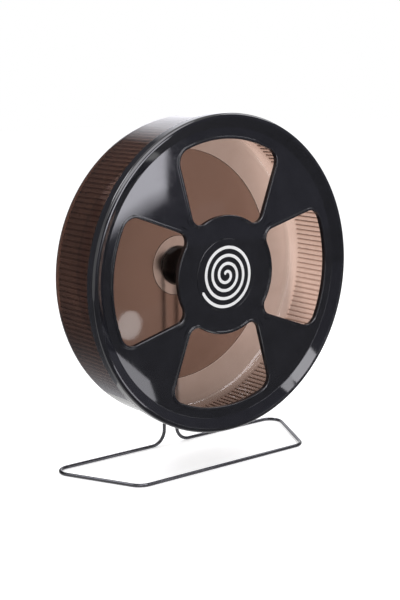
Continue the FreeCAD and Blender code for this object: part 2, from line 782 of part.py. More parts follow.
def bent_path(points, bends):
    """Straight runs through the points, each inner corner a tangent arc of its bend radius."""
    edges = []
    start = points[0]
    for before, corner, after, bend in zip(points, points[1:], points[2:], bends):
        arriving = (corner - before).normalize()
        leaving = (after - corner).normalize()
        half_turn = arriving.getAngle(leaving) / 2
        trim = bend * math.tan(half_turn)
        inward = (leaving - arriving).normalize()
        middle = corner + inward * (bend / math.cos(half_turn) - bend)
        first = corner - arriving * trim
        last = corner + leaving * trim
        edges.append(Part.makeLine(start, first))
        edges.append(Part.Arc(first, middle, last).toShape())
        start = last
    edges.append(Part.makeLine(start, points[-1]))
    return Part.Wire(edges)


def stand_wire():
    """One wire: down from its left socket, round the floor loop and up to the right socket."""
    radius = dim.wire_diameter.value / 2
    top = dim.axle_height.value + dim.socket_height.value - dim.socket_end_gap.value
    rear = (lip_y + wire_depth).value
    front = (lip_y + dim.front_bar_depth).value
    half_gap = dim.upright_spacing.value / 2
    half_rear = dim.rear_width.value / 2
    half_front = dim.front_width.value / 2
    left_half = [Vector(-half_gap, rear, top), Vector(-half_gap, rear, radius),
                 Vector(-half_rear, rear, radius), Vector(-half_front, front, radius)]
    right_half = [Vector(-point.x, point.y, point.z) for point in reversed(left_half)]
    bends = [dim.upright_bend.value, dim.rear_bend.value, dim.front_bend.value]
    path = doc.addObject("Part::Feature", "wire_path")
    path.Shape = bent_path(left_half + right_half, bends + bends[::-1])
    section = doc.addObject("Part::Circle", "wire_section")
    section.Radius = radius
    bind(section, "Radius", dim.wire_diameter / 2)
    section.Placement.Base = left_half[0]
    bind(section, "Placement.Base.x", -(dim.upright_spacing / 2))
    bind(section, "Placement.Base.y", lip_y + wire_depth)
    bind(section, "Placement.Base.z", dim.axle_height + dim.socket_height - dim.socket_end_gap)
    wire = doc.addObject("Part::Sweep", "stand_wire")
    wire.Sections = [section]
    wire.Spine = (path, [f"Edge{i + 1}" for i in range(len(path.Shape.Edges))])
    wire.Solid = True
    wire.Frenet = False
    nodes.append(wire)
    doc.recompute()
    expected = math.pi * radius ** 2 * path.Shape.Length
    print("stand wire volume over section times length:", round(wire.Shape.Volume / expected, 5))


def write_parts():
    """Checks every object of the document and each sub-part, then writes the STEP files."""
    doc.recompute()
    for item in doc.Objects:
        if "Invalid" in item.State or "Error" in item.State:
            raise RuntimeError(f"{item.Label} failed: {item.State}")
    for node in nodes:
        if node.Shape.isNull() or not node.Shape.isValid() or not node.Shape.Solids:
            raise RuntimeError(f"{node.Label} has no valid solid")
    os.makedirs("parts", exist_ok=True)
    for node in nodes:
        node.Shape.exportStep(f"parts/{node.Label}.step")
        print(node.Label, len(node.Shape.Solids), "solid", round(node.Shape.Volume, 1), "mm3")


stand_wire()
axle_block()
axle_bolt()
axle_stack()
lock_nut()
ball_bearing("front", front_bearing_front)
ball_bearing("rear", rear_bearing_front)
bearing_hub()
hub_cap()
drum()
front_cover()
hub_badge()
spiral_inlay()
write_parts()
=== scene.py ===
import json
import math

import bmesh
import bpy
import numpy as np
from mathutils import Matrix, Vector


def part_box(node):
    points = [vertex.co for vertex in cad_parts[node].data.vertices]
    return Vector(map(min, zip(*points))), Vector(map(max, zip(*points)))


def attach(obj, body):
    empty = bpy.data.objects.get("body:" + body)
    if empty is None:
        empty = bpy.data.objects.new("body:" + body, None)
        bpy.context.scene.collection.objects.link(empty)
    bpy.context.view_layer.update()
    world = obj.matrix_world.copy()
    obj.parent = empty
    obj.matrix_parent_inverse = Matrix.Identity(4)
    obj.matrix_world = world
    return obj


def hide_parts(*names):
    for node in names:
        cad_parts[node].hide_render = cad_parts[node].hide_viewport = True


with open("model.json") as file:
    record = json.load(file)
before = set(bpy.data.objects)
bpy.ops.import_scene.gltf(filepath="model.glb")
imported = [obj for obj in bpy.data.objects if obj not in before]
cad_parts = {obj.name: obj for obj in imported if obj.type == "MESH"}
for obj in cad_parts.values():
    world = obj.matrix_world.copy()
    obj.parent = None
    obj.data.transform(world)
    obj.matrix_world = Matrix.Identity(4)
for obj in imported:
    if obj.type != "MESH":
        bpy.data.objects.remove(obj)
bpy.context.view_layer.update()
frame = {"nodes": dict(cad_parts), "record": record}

# Running wheel for a small pet, in metres. +Z is up and the windowed front faces -Y.
# Places on the wheel are given across the axle, behind the plane of the cover's lip and above
# the axle.

MM = 0.001
COVER_LOW, COVER_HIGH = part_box("front_cover")
LIP_Y = COVER_LOW.y
AXLE_Z = (COVER_LOW.z + COVER_HIGH.z) / 2
COVER_RADIUS = (COVER_HIGH.x - COVER_LOW.x) / 2

# Front cover
COVER_WALL = 2.5 * MM
SKIRT_DEPTH = COVER_HIGH.y - LIP_Y
FACE_DEPTH = 5.0 * MM
FACE_REAR = FACE_DEPTH + COVER_WALL
LIP_INSET = 4.0 * MM
LIP_INNER_ROUNDING = 1.1 * MM
LIP_OUTER_ROUNDING = 2.6 * MM
CONE_WIDTH = 8.5 * MM
CONE_FOOT_STEP = 0.3 * MM
CONE_FOOT_ROUNDING = 0.9 * MM
LIP_CREST_RADIUS = COVER_RADIUS - LIP_INSET
CONE_FOOT_RADIUS = LIP_CREST_RADIUS - CONE_WIDTH
SKIRT_INNER_RADIUS = COVER_RADIUS - COVER_WALL
COVER_FIT = 0.3 * MM
RIM_DEPTH = 3.0 * MM
LOCATING_RING_DEPTH = 6.5 * MM
LOCATING_RING_WALL = 1.8 * MM
SKIRT_ROUNDING = 0.4 * MM

# Windows in the cover
WINDOW_COUNT = 4
WINDOW_TURN = math.radians(-2.5)
WINDOW_INSET = 9.5 * MM
WINDOW_OUTER_RADIUS = CONE_FOOT_RADIUS - WINDOW_INSET
WINDOW_INNER_RADIUS = 52.5 * MM
WINDOW_SIDE_OFFSET = 21.4 * MM
WINDOW_SIDE_LEAN = math.radians(17.8)
WINDOW_OUTER_CORNER = 12.0 * MM
WINDOW_INNER_CORNER = 9.0 * MM
BEAD_WIDTH = 2.5 * MM
BEAD_HEIGHT = 1.0 * MM
BEAD_FLANGE = 1.0 * MM
BEAD_SURROUND = 3.0 * MM
BEAD_INNER_ROUNDING = 0.8 * MM
BEAD_OUTER_ROUNDING = 0.7 * MM
BEAD_FOOT_ROUNDING = 0.28 * MM
FLANGE_ROUNDING = 0.4 * MM
FLANGE_OUTER_ROUNDING = 0.3 * MM
HUB_PATCH_RADIUS = 40.0 * MM

# Badge and spiral
BADGE_RADIUS = 32.0 * MM
BADGE_FIT = 0.15 * MM
BADGE_RECESS = 0.6 * MM
BADGE_THICKNESS = 0.8 * MM
BADGE_ROUNDING = 0.35 * MM
RECESS_ROUNDING = 0.25 * MM
BADGE_FRONT = FACE_DEPTH + BADGE_RECESS - BADGE_THICKNESS
SPIRAL_INNER_RADIUS = 1.4 * MM
SPIRAL_PITCH = 7.1 * MM
SPIRAL_TURNS = 3.9
SPIRAL_END = math.radians(205)
SPIRAL_WIDTH = 2.7 * MM
SPIRAL_THICKNESS = 0.2 * MM
SPIRAL_ROUNDING = 0.12 * MM

# Drum
DRUM_WALL = 2.0 * MM
DRUM_RADIUS = SKIRT_INNER_RADIUS - COVER_FIT
TREAD_RADIUS = DRUM_RADIUS - DRUM_WALL
BACK_DEPTH = 75.0 * MM
DISC_RADIUS = 107.0 * MM
DISC_INNER_RADIUS = 27.5 * MM
DISC_WALL = 3.6 * MM
DISC_ROUNDING = 0.5 * MM
DISC_INNER_ROUNDING = 0.4 * MM
DISH_DEPTH = 6.7 * MM
SHOULDER_ROUNDING = 10.0 * MM
DRUM_ROUNDING = 0.3 * MM
SNAP_HEIGHT = 0.5 * MM
SNAP_DEPTH = 6.2 * MM
SNAP_WIDTH = 2.0 * MM
RIB_COUNT = 180
RIB_HEIGHT = 0.9 * MM
RIB_TIP_HALF = 0.55 * MM
RIB_FOOT_HALF = 0.74 * MM
RIB_FRONT = 8.0 * MM
RIB_REAR = 60.4 * MM
RIB_END_SLOPE = 0.4 * MM
RIB_TAIL = 0.1 * MM

# Hub
HUB_TUBE_RADIUS = 13.5 * MM
HUB_HOLE_RADIUS = 13.7 * MM
HUB_FLANGE_RADIUS = 18.0 * MM
HUB_FLANGE_WALL = 2.5 * MM
HUB_BORE_RADIUS = 11.0 * MM
HUB_SHOULDER_RADIUS = 9.6 * MM
HUB_END_ROUNDING = 0.5 * MM
HUB_BORE_ROUNDING = 0.3 * MM
HUB_FLANGE_ROUNDING = 0.9 * MM
HUB_FLANGE_FILLET = 1.2 * MM
HUB_SEAM = 0.1 * MM
BEARING_SEAT = 7.5 * MM
CAP_BASE_RADIUS = 18.5 * MM
CAP_LENGTH = 29.0 * MM
CAP_FIT = 0.1 * MM
CAP_SEAT_GAP = 0.5 * MM
CAP_CAVITY_RADIUS = 8.3 * MM
CAP_CAVITY_ROUNDING = 3.0 * MM
CAP_NOSE_WALL = 2.4 * MM

# Stand
WIRE_RADIUS = 1.6 * MM
WIRE_TIP = 0.4 * MM
UPRIGHT_SPACING = 14.6 * MM
REAR_WIDTH = 270.0 * MM
FRONT_WIDTH = 186.0 * MM
FRONT_BAR_DEPTH = 6.7 * MM
UPRIGHT_BEND = 14.0 * MM
REAR_BEND = 12.0 * MM
FRONT_BEND = 14.0 * MM

# Mesh fineness
LATHE_STEPS = 192
BIG_ARC_STEPS = 84
SIDE_STEPS = 44
HALF_CORNER_STEPS = 7
FACE_STEPS = 6
SPIRAL_STEPS = 560
CAP_STEPS = 48
MERGE_DISTANCE = 0.001 * MM
EDGE_GUARD = 0.2 * MM
STRAIGHT_TURN = 1e-6


# Mesh tools


def on_axle(across, depth, up):
    """Row-frame points of places across the axle, behind the lip and above the axle."""
    across, depth, up = np.broadcast_arrays(across, depth, up)
    return np.stack([across, LIP_Y + depth, AXLE_Z + up], axis=-1)


def grid_quads(rows, columns, wrap_rows=False, wrap_columns=False):
    """Corner numbers of each cell of a grid, joined end to start where it wraps."""
    row = np.arange(rows if wrap_rows else rows - 1)
    column = np.arange(columns if wrap_columns else columns - 1)
    r, c = np.meshgrid(row, column, indexing="ij")
    next_r = (r + 1) % rows
    next_c = (c + 1) % columns
    corners = [(r, c), (next_r, c), (next_r, next_c), (r, next_c)]
    numbers = [corner_row * columns + corner_column for corner_row, corner_column in corners]
    return np.stack(numbers, axis=-1).reshape(-1, 4)


def grid_patch(points, wrap_rows=False, wrap_columns=False):
    """Points and quads of a grid of points."""
    rows, columns = points.shape[:2]
    return points.reshape(-1, 3), grid_quads(rows, columns, wrap_rows, wrap_columns)


def rounded(corners, steps=6):
    """Line through corners (along, across, rounding): each inner corner is a tangent arc.

    The arc starts its rounding times the tangent of half the turn before the corner, and its
    radius arm swings evenly through the turn. A long straight run has a point near each end,
    which keeps its shading flat.
    """
    spots = np.array([c[:2] for c in corners], float)
    line = [spots[:1]]

    def run_to(end):
        way = end - line[-1][-1]
        length = np.linalg.norm(way)
        if length > 4 * EDGE_GUARD:
            inset = way * EDGE_GUARD / length
            line.append(np.array([line[-1][-1] + inset, end - inset]))

    for before, corner, after, spec in zip(spots, spots[1:], spots[2:], corners[1:]):
        radius = spec[2] if len(spec) > 2 else 0.0
        arriving = (corner - before) / np.linalg.norm(corner - before)
        leaving = (after - corner) / np.linalg.norm(after - corner)
        turn = math.atan2(arriving[0] * leaving[1] - arriving[1] * leaving[0], arriving @ leaving)
        if radius == 0.0 or abs(turn) < STRAIGHT_TURN:
            run_to(corner)
            line.append(corner[None])
            continue
        start = corner - arriving * radius * math.tan(abs(turn) / 2)
        run_to(start)
        normal = np.array([-arriving[1], arriving[0]]) * math.copysign(1, turn)
        centre = start + normal * radius
        swing = np.linspace(0, turn, steps + 1)
        arm = start - centre
        x = arm[0] * np.cos(swing) - arm[1] * np.sin(swing)
        y = arm[0] * np.sin(swing) + arm[1] * np.cos(swing)
        line.append(centre + np.stack([x, y], axis=-1))
    run_to(spots[-1])
    line.append(spots[-1:])
    return np.concatenate(line)


def lathe(outline, angles=None, closed=False):
    """Outline of (radius, depth) carried round the axle, as a grid of angle by outline point."""
    if angles is None:
        angles = np.linspace(0, 2 * np.pi, LATHE_STEPS, endpoint=False)
    radius, depth = outline.T
    across = np.cos(angles)[:, None] * radius
    up = np.sin(angles)[:, None] * radius
    return grid_patch(on_axle(across, depth, up), wrap_rows=True, wrap_columns=closed)


def make_piece(name, body, material, patches, replaced, sharp=38):
    """Closed mesh of the patches, with doubles merged, faces outwards and real edges kept sharp."""
    starts = np.cumsum([0] + [len(points) for points, _ in patches[:-1]])
    points = np.concatenate([points for points, _ in patches])
    quads = np.concatenate([quads + start for (_, quads), start in zip(patches, starts)])
    mesh = bpy.data.meshes.new(name)
    mesh.from_pydata(points.tolist(), [], quads.tolist())
    shell = bmesh.new()
    shell.from_mesh(mesh)
    bmesh.ops.remove_doubles(shell, verts=shell.verts, dist=MERGE_DISTANCE)
    bmesh.ops.recalc_face_normals(shell, faces=shell.faces)
    shell.to_mesh(mesh)
    shell.free()
    mesh.polygons.foreach_set("use_smooth", np.ones(len(mesh.polygons), bool))
    mesh.set_sharp_from_angle(angle=math.radians(sharp))
    mesh.materials.append(material)
    piece = bpy.data.objects.new(name, mesh)
    bpy.context.scene.collection.objects.link(piece)
    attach(piece, body)
    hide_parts(replaced)


# Shader tools

PEEL_SCALE = 900.0
WAVE_SCALE = 30.0
PATCH_SCALE = 60.0
PATCH_SPAN = (0.3, 0.7)
SCRATCH_WAYS = ((0.5, (60.0, 60.0, 900.0)), (-0.8, (900.0, 60.0, 60.0)))
SCRATCH_SPAN = (0.66, 0.74)


def new_group(name, inputs, outputs):
    """Empty shader node group with float inputs and its named outputs."""
    group = bpy.data.node_groups.new(name, "ShaderNodeTree")
    for label, value in inputs.items():
        socket = group.interface.new_socket(label, in_out="INPUT", socket_type="NodeSocketFloat")
        socket.default_value = value
    for label, kind in outputs.items():
        group.interface.new_socket(label, in_out="OUTPUT", socket_type=f"NodeSocket{kind}")
    start = group.nodes.new("NodeGroupInput")
    end = group.nodes.new("NodeGroupOutput")
    return group, start, end


def add_node(tree, kind, values=None, **settings):
    """Node with its settings and input values."""
    node = tree.nodes.new(kind)
    for key, value in settings.items():
        setattr(node, key, value)
    for key, value in (values or {}).items():
        node.inputs[key].default_value = value
    return node


def range_node(tree, value, low, high, out_low, out_high):
    """Map Range from one span to another, clamped, with the input linked."""
    node = add_node(tree, "ShaderNodeMapRange", {1: low, 2: high, 3: out_low, 4: out_high})
    tree.links.new(value, node.inputs[0])
    return node


def moulded_skin_group():
    """Skin of moulded plastic: a fine orange peel, slow waves of the tool, and patchy gloss."""
    group, start, end = new_group(
        "moulded_skin",
        {"Peel Scale": PEEL_SCALE, "Wave Scale": WAVE_SCALE, "Gloss": 0.1, "Gloss Spread": 0.05},
        {"Roughness": "Float", "Peel": "Float", "Wave": "Float", "Patches": "Float"})
    link = group.links.new
    place = add_node(group, "ShaderNodeTexCoord").outputs["Object"]
    peel = add_node(group, "ShaderNodeTexNoise", {"Detail": 2.0})
    wave = add_node(group, "ShaderNodeTexNoise", {"Detail": 1.0})
    patch = add_node(group, "ShaderNodeTexNoise", {"Scale": PATCH_SCALE, "Detail": 4.0, "Roughness": 0.6})
    for texture in (peel, wave, patch):
        link(place, texture.inputs["Vector"])
    link(start.outputs["Peel Scale"], peel.inputs["Scale"])
    link(start.outputs["Wave Scale"], wave.inputs["Scale"])
    patches = range_node(group, patch.outputs["Fac"], *PATCH_SPAN, 0.0, 1.0)
    spread = add_node(group, "ShaderNodeMath", operation="MULTIPLY_ADD")
    link(patches.outputs[0], spread.inputs[0])
    link(start.outputs["Gloss Spread"], spread.inputs[1])
    link(start.outputs["Gloss"], spread.inputs[2])
    link(spread.outputs[0], end.inputs["Roughness"])
    link(peel.outputs["Fac"], end.inputs["Peel"])
    link(wave.outputs["Fac"], end.inputs["Wave"])
    link(patches.outputs[0], end.inputs["Patches"])
    return group


def hairline_group():
    """Thin scratches: noise drawn out along two slanted directions and cut to its crests."""
    group, start, end = new_group(
        "hairlines", {"Scale": 1.0, "Amount": 0.5}, {"Lines": "Float"})
    link = group.links.new
    place = add_node(group, "ShaderNodeTexCoord").outputs["Object"]
    crests = []
    for slant, stretch in SCRATCH_WAYS:
        turn = add_node(group, "ShaderNodeMapping", {"Rotation": (0.2, slant, 0.1), "Scale": stretch})
        link(place, turn.inputs["Vector"])
        noise = add_node(group, "ShaderNodeTexNoise", {"Detail": 2.0})
        link(turn.outputs[0], noise.inputs["Vector"])
        link(start.outputs["Scale"], noise.inputs["Scale"])
        crests.append(range_node(group, noise.outputs["Fac"], *SCRATCH_SPAN, 0.0, 1.0).outputs[0])
    most = add_node(group, "ShaderNodeMath", operation="MAXIMUM")
    amount = add_node(group, "ShaderNodeMath", operation="MULTIPLY")
    link(crests[0], most.inputs[0])
    link(crests[1], most.inputs[1])
    link(most.outputs[0], amount.inputs[0])
    link(start.outputs["Amount"], amount.inputs[1])
    link(amount.outputs[0], end.inputs["Lines"])
    return group


MOULDED_SKIN = moulded_skin_group()
HAIRLINES = hairline_group()


def new_material(name):
    """New material with its node tree, its Principled shader and its output."""
    material = bpy.data.materials.new(name)
    material.use_nodes = True
    tree = material.node_tree
    shader = next(n for n in tree.nodes if n.type == "BSDF_PRINCIPLED")
    output = next(n for n in tree.nodes if n.type == "OUTPUT_MATERIAL")
    return material, tree, shader, output


def use_group(tree, group, **values):
    """Group node with its own input values, given with underscores for spaces."""
    node = add_node(tree, "ShaderNodeGroup", node_tree=group)
    for key, value in values.items():
        node.inputs[key.replace("_", " ")].default_value = value
    return node


def blend_colours(tree, mask, first, second):
    """Colour that goes from the first to the second with the mask."""
    ramp = add_node(tree, "ShaderNodeValToRGB")
    ramp.color_ramp.elements[0].color = (*first, 1)
    ramp.color_ramp.elements[1].color = (*second, 1)
    tree.links.new(mask, ramp.inputs[0])
    return ramp.outputs["Color"]


def bump_chain(tree, shader, *layers):
    """Bump nodes one on another, each (height, strength, distance), into the shader's normal."""
    normal = None
    for height, strength, distance in layers:
        bump = add_node(tree, "ShaderNodeBump", {"Strength": strength, "Distance": distance})
        tree.links.new(height, bump.inputs["Height"])
        if normal is not None:
            tree.links.new(normal, bump.inputs["Normal"])
        normal = bump.outputs["Normal"]
    tree.links.new(normal, shader.inputs["Normal"])


# Materials

GRAIN_SCALE = 2500.0
PLASTIC_IOR = 1.5
SMOKED_IOR = 1.49
SMOKE_COLOUR = (0.342, 0.125, 0.013, 1)
SMOKE_DENSITY = 670.0
DISC_FROST = 0.4
DISH_FROST = 0.26
MASK_EDGE = 0.5 * MM
REAR_MASK_HALF = 0.2 * MM


def scratched(tree, roughness, amount):
    """Roughness with thin scratches added to it."""
    marks = use_group(tree, HAIRLINES, Amount=amount)
    rougher = add_node(tree, "ShaderNodeMath", operation="ADD")
    tree.links.new(roughness, rougher.inputs[0])
    tree.links.new(marks.outputs["Lines"], rougher.inputs[1])
    return rougher.outputs[0]


def plastic(name, dark, light, gloss, spread, wave_height, peel_height, ior=PLASTIC_IOR, lines=0.0):
    """Moulded plastic: colour between two close shades, patchy gloss, peel, waves and hairlines."""
    material, tree, shader, _ = new_material(name)
    shader.inputs["IOR"].default_value = ior
    skin = use_group(tree, MOULDED_SKIN, Gloss=gloss, Gloss_Spread=spread)
    colour = blend_colours(tree, skin.outputs["Patches"], dark, light)
    roughness = skin.outputs["Roughness"]
    if lines:
        roughness = scratched(tree, roughness, lines)
    tree.links.new(colour, shader.inputs["Base Color"])
    tree.links.new(roughness, shader.inputs["Roughness"])
    bump_chain(tree, shader, (skin.outputs["Wave"], 1.0, wave_height),
               (skin.outputs["Peel"], 1.0, peel_height))
    return material


def metal(name, dark, light, gloss, spread, grain_height, lines):
    """Plated or ground metal: cloudy shade, patchy gloss, fine grain and hairlines."""
    material, tree, shader, _ = new_material(name)
    shader.inputs["Metallic"].default_value = 1.0
    skin = use_group(tree, MOULDED_SKIN, Gloss=gloss, Gloss_Spread=spread, Peel_Scale=GRAIN_SCALE)
    colour = blend_colours(tree, skin.outputs["Patches"], dark, light)
    roughness = scratched(tree, skin.outputs["Roughness"], lines)
    tree.links.new(colour, shader.inputs["Base Color"])
    tree.links.new(roughness, shader.inputs["Roughness"])
    bump_chain(tree, shader, (skin.outputs["Peel"], 1.0, grain_height))
    return material


def drum_masks(tree):
    """Three masks: out beyond the disc's edge, where the wall is thin, and the back wall's rear."""
    place = add_node(tree, "ShaderNodeTexCoord").outputs["Object"]
    parts = add_node(tree, "ShaderNodeSeparateXYZ")
    from_axle = add_node(tree, "ShaderNodeVectorMath", {1: (0, 0, AXLE_Z)}, operation="SUBTRACT")
    flat = add_node(tree, "ShaderNodeVectorMath", {1: (1, 0, 1)}, operation="MULTIPLY")
    radius = add_node(tree, "ShaderNodeVectorMath", operation="LENGTH")
    level = add_node(tree, "ShaderNodeMath", operation="ADD")
    middle = LIP_Y + BACK_DEPTH + DRUM_WALL / 2
    tree.links.new(place, parts.inputs[0])
    tree.links.new(place, from_axle.inputs[0])
    tree.links.new(from_axle.outputs[0], flat.inputs[0])
    tree.links.new(flat.outputs[0], radius.inputs[0])
    away = radius.outputs["Value"]
    outer = range_node(tree, away, DISC_RADIUS, DISC_RADIUS + MASK_EDGE, 0.0, 1.0)
    inner = range_node(tree, away, DISC_INNER_RADIUS - MASK_EDGE, DISC_INNER_RADIUS, 1.0, 0.0)
    thin = add_node(tree, "ShaderNodeMath", operation="MAXIMUM")
    tree.links.new(outer.outputs[0], thin.inputs[0])
    tree.links.new(inner.outputs[0], thin.inputs[1])
    fall = range_node(tree, away, DISC_RADIUS, TREAD_RADIUS, 0.0, DISH_DEPTH)
    tree.links.new(parts.outputs["Y"], level.inputs[0])
    tree.links.new(fall.outputs[0], level.inputs[1])
    rear = range_node(tree, level.outputs[0], middle - REAR_MASK_HALF, middle + REAR_MASK_HALF, 0.0, 1.0)
    return outer.outputs[0], thin.outputs[0], rear.outputs[0]


def smoked_plastic():
    """Clear plastic that swallows blue most and red least, so thick stretches are darker.

    The thin wall round the disc and in its middle is a little smokier, and the back wall's rear
    is frosted.
    """
    material, tree, shader, output = new_material("smoked_plastic")
    shader.inputs["Transmission Weight"].default_value = 1.0
    shader.inputs["IOR"].default_value = SMOKED_IOR
    outer, thin, rear = drum_masks(tree)
    skin = use_group(tree, MOULDED_SKIN, Gloss=0.04, Gloss_Spread=0.03, Wave_Scale=22.0)
    tint = add_node(tree, "ShaderNodeMix", data_type="RGBA")
    clear = blend_colours(tree, skin.outputs["Patches"], (0.95, 0.94, 0.93), (1.0, 1.0, 1.0))
    smoky = blend_colours(tree, skin.outputs["Patches"], (0.80, 0.75, 0.72), (0.86, 0.82, 0.80))
    tree.links.new(thin, tint.inputs["Factor"])
    tree.links.new(clear, tint.inputs["A"])
    tree.links.new(smoky, tint.inputs["B"])
    tree.links.new(tint.outputs["Result"], shader.inputs["Base Color"])
    frost = range_node(tree, outer, 0.0, 1.0, DISC_FROST, DISH_FROST)
    rougher = add_node(tree, "ShaderNodeMath", operation="MULTIPLY_ADD")
    tree.links.new(rear, rougher.inputs[0])
    tree.links.new(frost.outputs[0], rougher.inputs[1])
    tree.links.new(skin.outputs["Roughness"], rougher.inputs[2])
    tree.links.new(rougher.outputs[0], shader.inputs["Roughness"])
    bump_chain(tree, shader, (skin.outputs["Wave"], 0.1, 0.01 * MM))
    smoke = add_node(tree, "ShaderNodeVolumeAbsorption",
                     {"Color": SMOKE_COLOUR, "Density": SMOKE_DENSITY})
    tree.links.new(smoke.outputs[0], output.inputs["Volume"])
    return material


SMOKED = smoked_plastic()
BLACK_GLOSS = plastic(
    "black_gloss", dark=(0.010, 0.010, 0.013), light=(0.014, 0.014, 0.018), gloss=0.03, spread=0.03,
    wave_height=0.05 * MM, peel_height=0.002 * MM, ior=1.58, lines=0.05)
# The cap's own darker, less reflective copy of the black gloss: painted shade that keeps the cap black
# inside the lit drum
CAP_SHADED_BLACK = plastic(
    "cap_shaded_black", dark=(0.005, 0.005, 0.006), light=(0.008, 0.008, 0.009), gloss=0.05, spread=0.05,
    wave_height=0.02 * MM, peel_height=0.002 * MM, ior=1.36)
WHITE_PRINT = plastic(
    "white_print", dark=(0.80, 0.80, 0.79), light=(0.86, 0.86, 0.86), gloss=0.3, spread=0.1,
    wave_height=0.01 * MM, peel_height=0.004 * MM)
HUB_NYLON = plastic(
    "hub_nylon", dark=(0.66, 0.59, 0.50), light=(0.76, 0.70, 0.62), gloss=0.38, spread=0.12,
    wave_height=0.02 * MM, peel_height=0.01 * MM, ior=1.53)
BLOCK_PLASTIC = plastic(
    "block_plastic", dark=(0.016, 0.016, 0.018), light=(0.026, 0.026, 0.028), gloss=0.35, spread=0.12,
    wave_height=0.02 * MM, peel_height=0.02 * MM, lines=0.1)
DARK_NICKEL = metal(
    "dark_nickel", dark=(0.060, 0.060, 0.066), light=(0.085, 0.085, 0.092), gloss=0.09, spread=0.05,
    grain_height=0.001 * MM, lines=0.08)
BEARING_STEEL = metal(
    "bearing_steel", dark=(0.55, 0.55, 0.56), light=(0.66, 0.66, 0.67), gloss=0.18, spread=0.1,
    grain_height=0.002 * MM, lines=0.15)
ZINC_STEEL = metal(
    "zinc_steel", dark=(0.42, 0.43, 0.45), light=(0.54, 0.55, 0.57), gloss=0.25, spread=0.15,
    grain_height=0.004 * MM, lines=0.15)


# Front cover


def corner_spots(grow):
    """Middle of each right-hand corner arc, with where it touches the straight side and the big arc.

    A side keeps its distance from the axle and leans away from the window's middle line. The
    corner's middle is one corner radius inside both the side and the big arc.
    """
    normal = np.array([math.cos(WINDOW_SIDE_LEAN), -math.sin(WINDOW_SIDE_LEAN)])
    upward = np.array([math.sin(WINDOW_SIDE_LEAN), math.cos(WINDOW_SIDE_LEAN)])
    spots = []
    for big, small, inward in ((WINDOW_INNER_RADIUS - grow, WINDOW_INNER_CORNER + grow, 1),
                               (WINDOW_OUTER_RADIUS + grow, WINDOW_OUTER_CORNER + grow, -1)):
        reach = big + inward * small
        from_side = WINDOW_SIDE_OFFSET + grow - small
        middle = normal * from_side + upward * math.sqrt(reach ** 2 - from_side ** 2)
        spots.append((middle, middle + normal * small, middle * (big / reach)))
    return spots


def swept_arc(middle, start, end, steps):
    """Points of the shorter arc about a middle from start to end, its end left out."""
    arm = start - middle
    last = end - middle
    angle = math.atan2(arm[0] * last[1] - arm[1] * last[0], arm @ last)
    swing = np.linspace(0, angle, steps, endpoint=False)
    x = arm[0] * np.cos(swing) - arm[1] * np.sin(swing)
    y = arm[0] * np.sin(swing) + arm[1] * np.cos(swing)
    return middle + np.stack([x, y], axis=-1)


def window_loop(grow):
    """Window's outline grown outwards all round, from the middle of its lower right corner."""
    (low_c, low_s, low_b), (top_c, top_s, top_b) = corner_spots(grow)
    mirror = np.array([-1.0, 1.0])
    axle = np.zeros(2)
    half = HALF_CORNER_STEPS
    low_arc = swept_arc(low_c, low_b, low_s, 2 * half)
    top_arc = swept_arc(top_c, top_s, top_b, 2 * half)
    share = np.linspace(0, 1, SIDE_STEPS, endpoint=False)[:, None]
    right = low_s + (top_s - low_s) * share
    big_top = swept_arc(axle, top_b, top_b * mirror, BIG_ARC_STEPS)
    top_left = swept_arc(top_c * mirror, top_b * mirror, top_s * mirror, 2 * half)
    left = top_s * mirror + (low_s - top_s) * mirror * share
    low_left = swept_arc(low_c * mirror, low_s * mirror, low_b * mirror, 2 * half)
    big_low = swept_arc(axle, low_b * mirror, low_b, BIG_ARC_STEPS)
    return np.concatenate([low_arc[half:], right, top_arc, big_top, top_left, left, low_left,
                           big_low, low_arc[:half]])


SIDE_CELLS = SIDE_STEPS + 2 * HALF_CORNER_STEPS
ARC_CELLS = BIG_ARC_STEPS + 2 * HALF_CORNER_STEPS
QUARTER = 2 * math.pi / WINDOW_COUNT


def quarter_loop():
    """Edge of the cover's quarter round a window, point for point with the window's outline."""
    side = np.linspace(0, 1, SIDE_CELLS, endpoint=False)
    arc = np.linspace(0, 1, ARC_CELLS, endpoint=False)
    span = CONE_FOOT_RADIUS - HUB_PATCH_RADIUS
    radius = np.concatenate([HUB_PATCH_RADIUS + span * side, np.full(ARC_CELLS, CONE_FOOT_RADIUS),
                             CONE_FOOT_RADIUS - span * side, np.full(ARC_CELLS, HUB_PATCH_RADIUS)])
    half = QUARTER / 2
    angle = np.concatenate([np.full(SIDE_CELLS, -half), -half + QUARTER * arc,
                            np.full(SIDE_CELLS, half), half - QUARTER * arc])
    return np.stack([-radius * np.sin(angle), radius * np.cos(angle)], axis=-1)


def quarter_angles():
    """Angles round the axle of the quarters' points on the cone's foot."""
    arc = np.linspace(0, 1, ARC_CELLS, endpoint=False)
    start = math.pi / 2 + WINDOW_TURN - QUARTER / 2
    turn = np.arange(WINDOW_COUNT)[:, None] * QUARTER
    return (start + turn + QUARTER * arc).ravel()


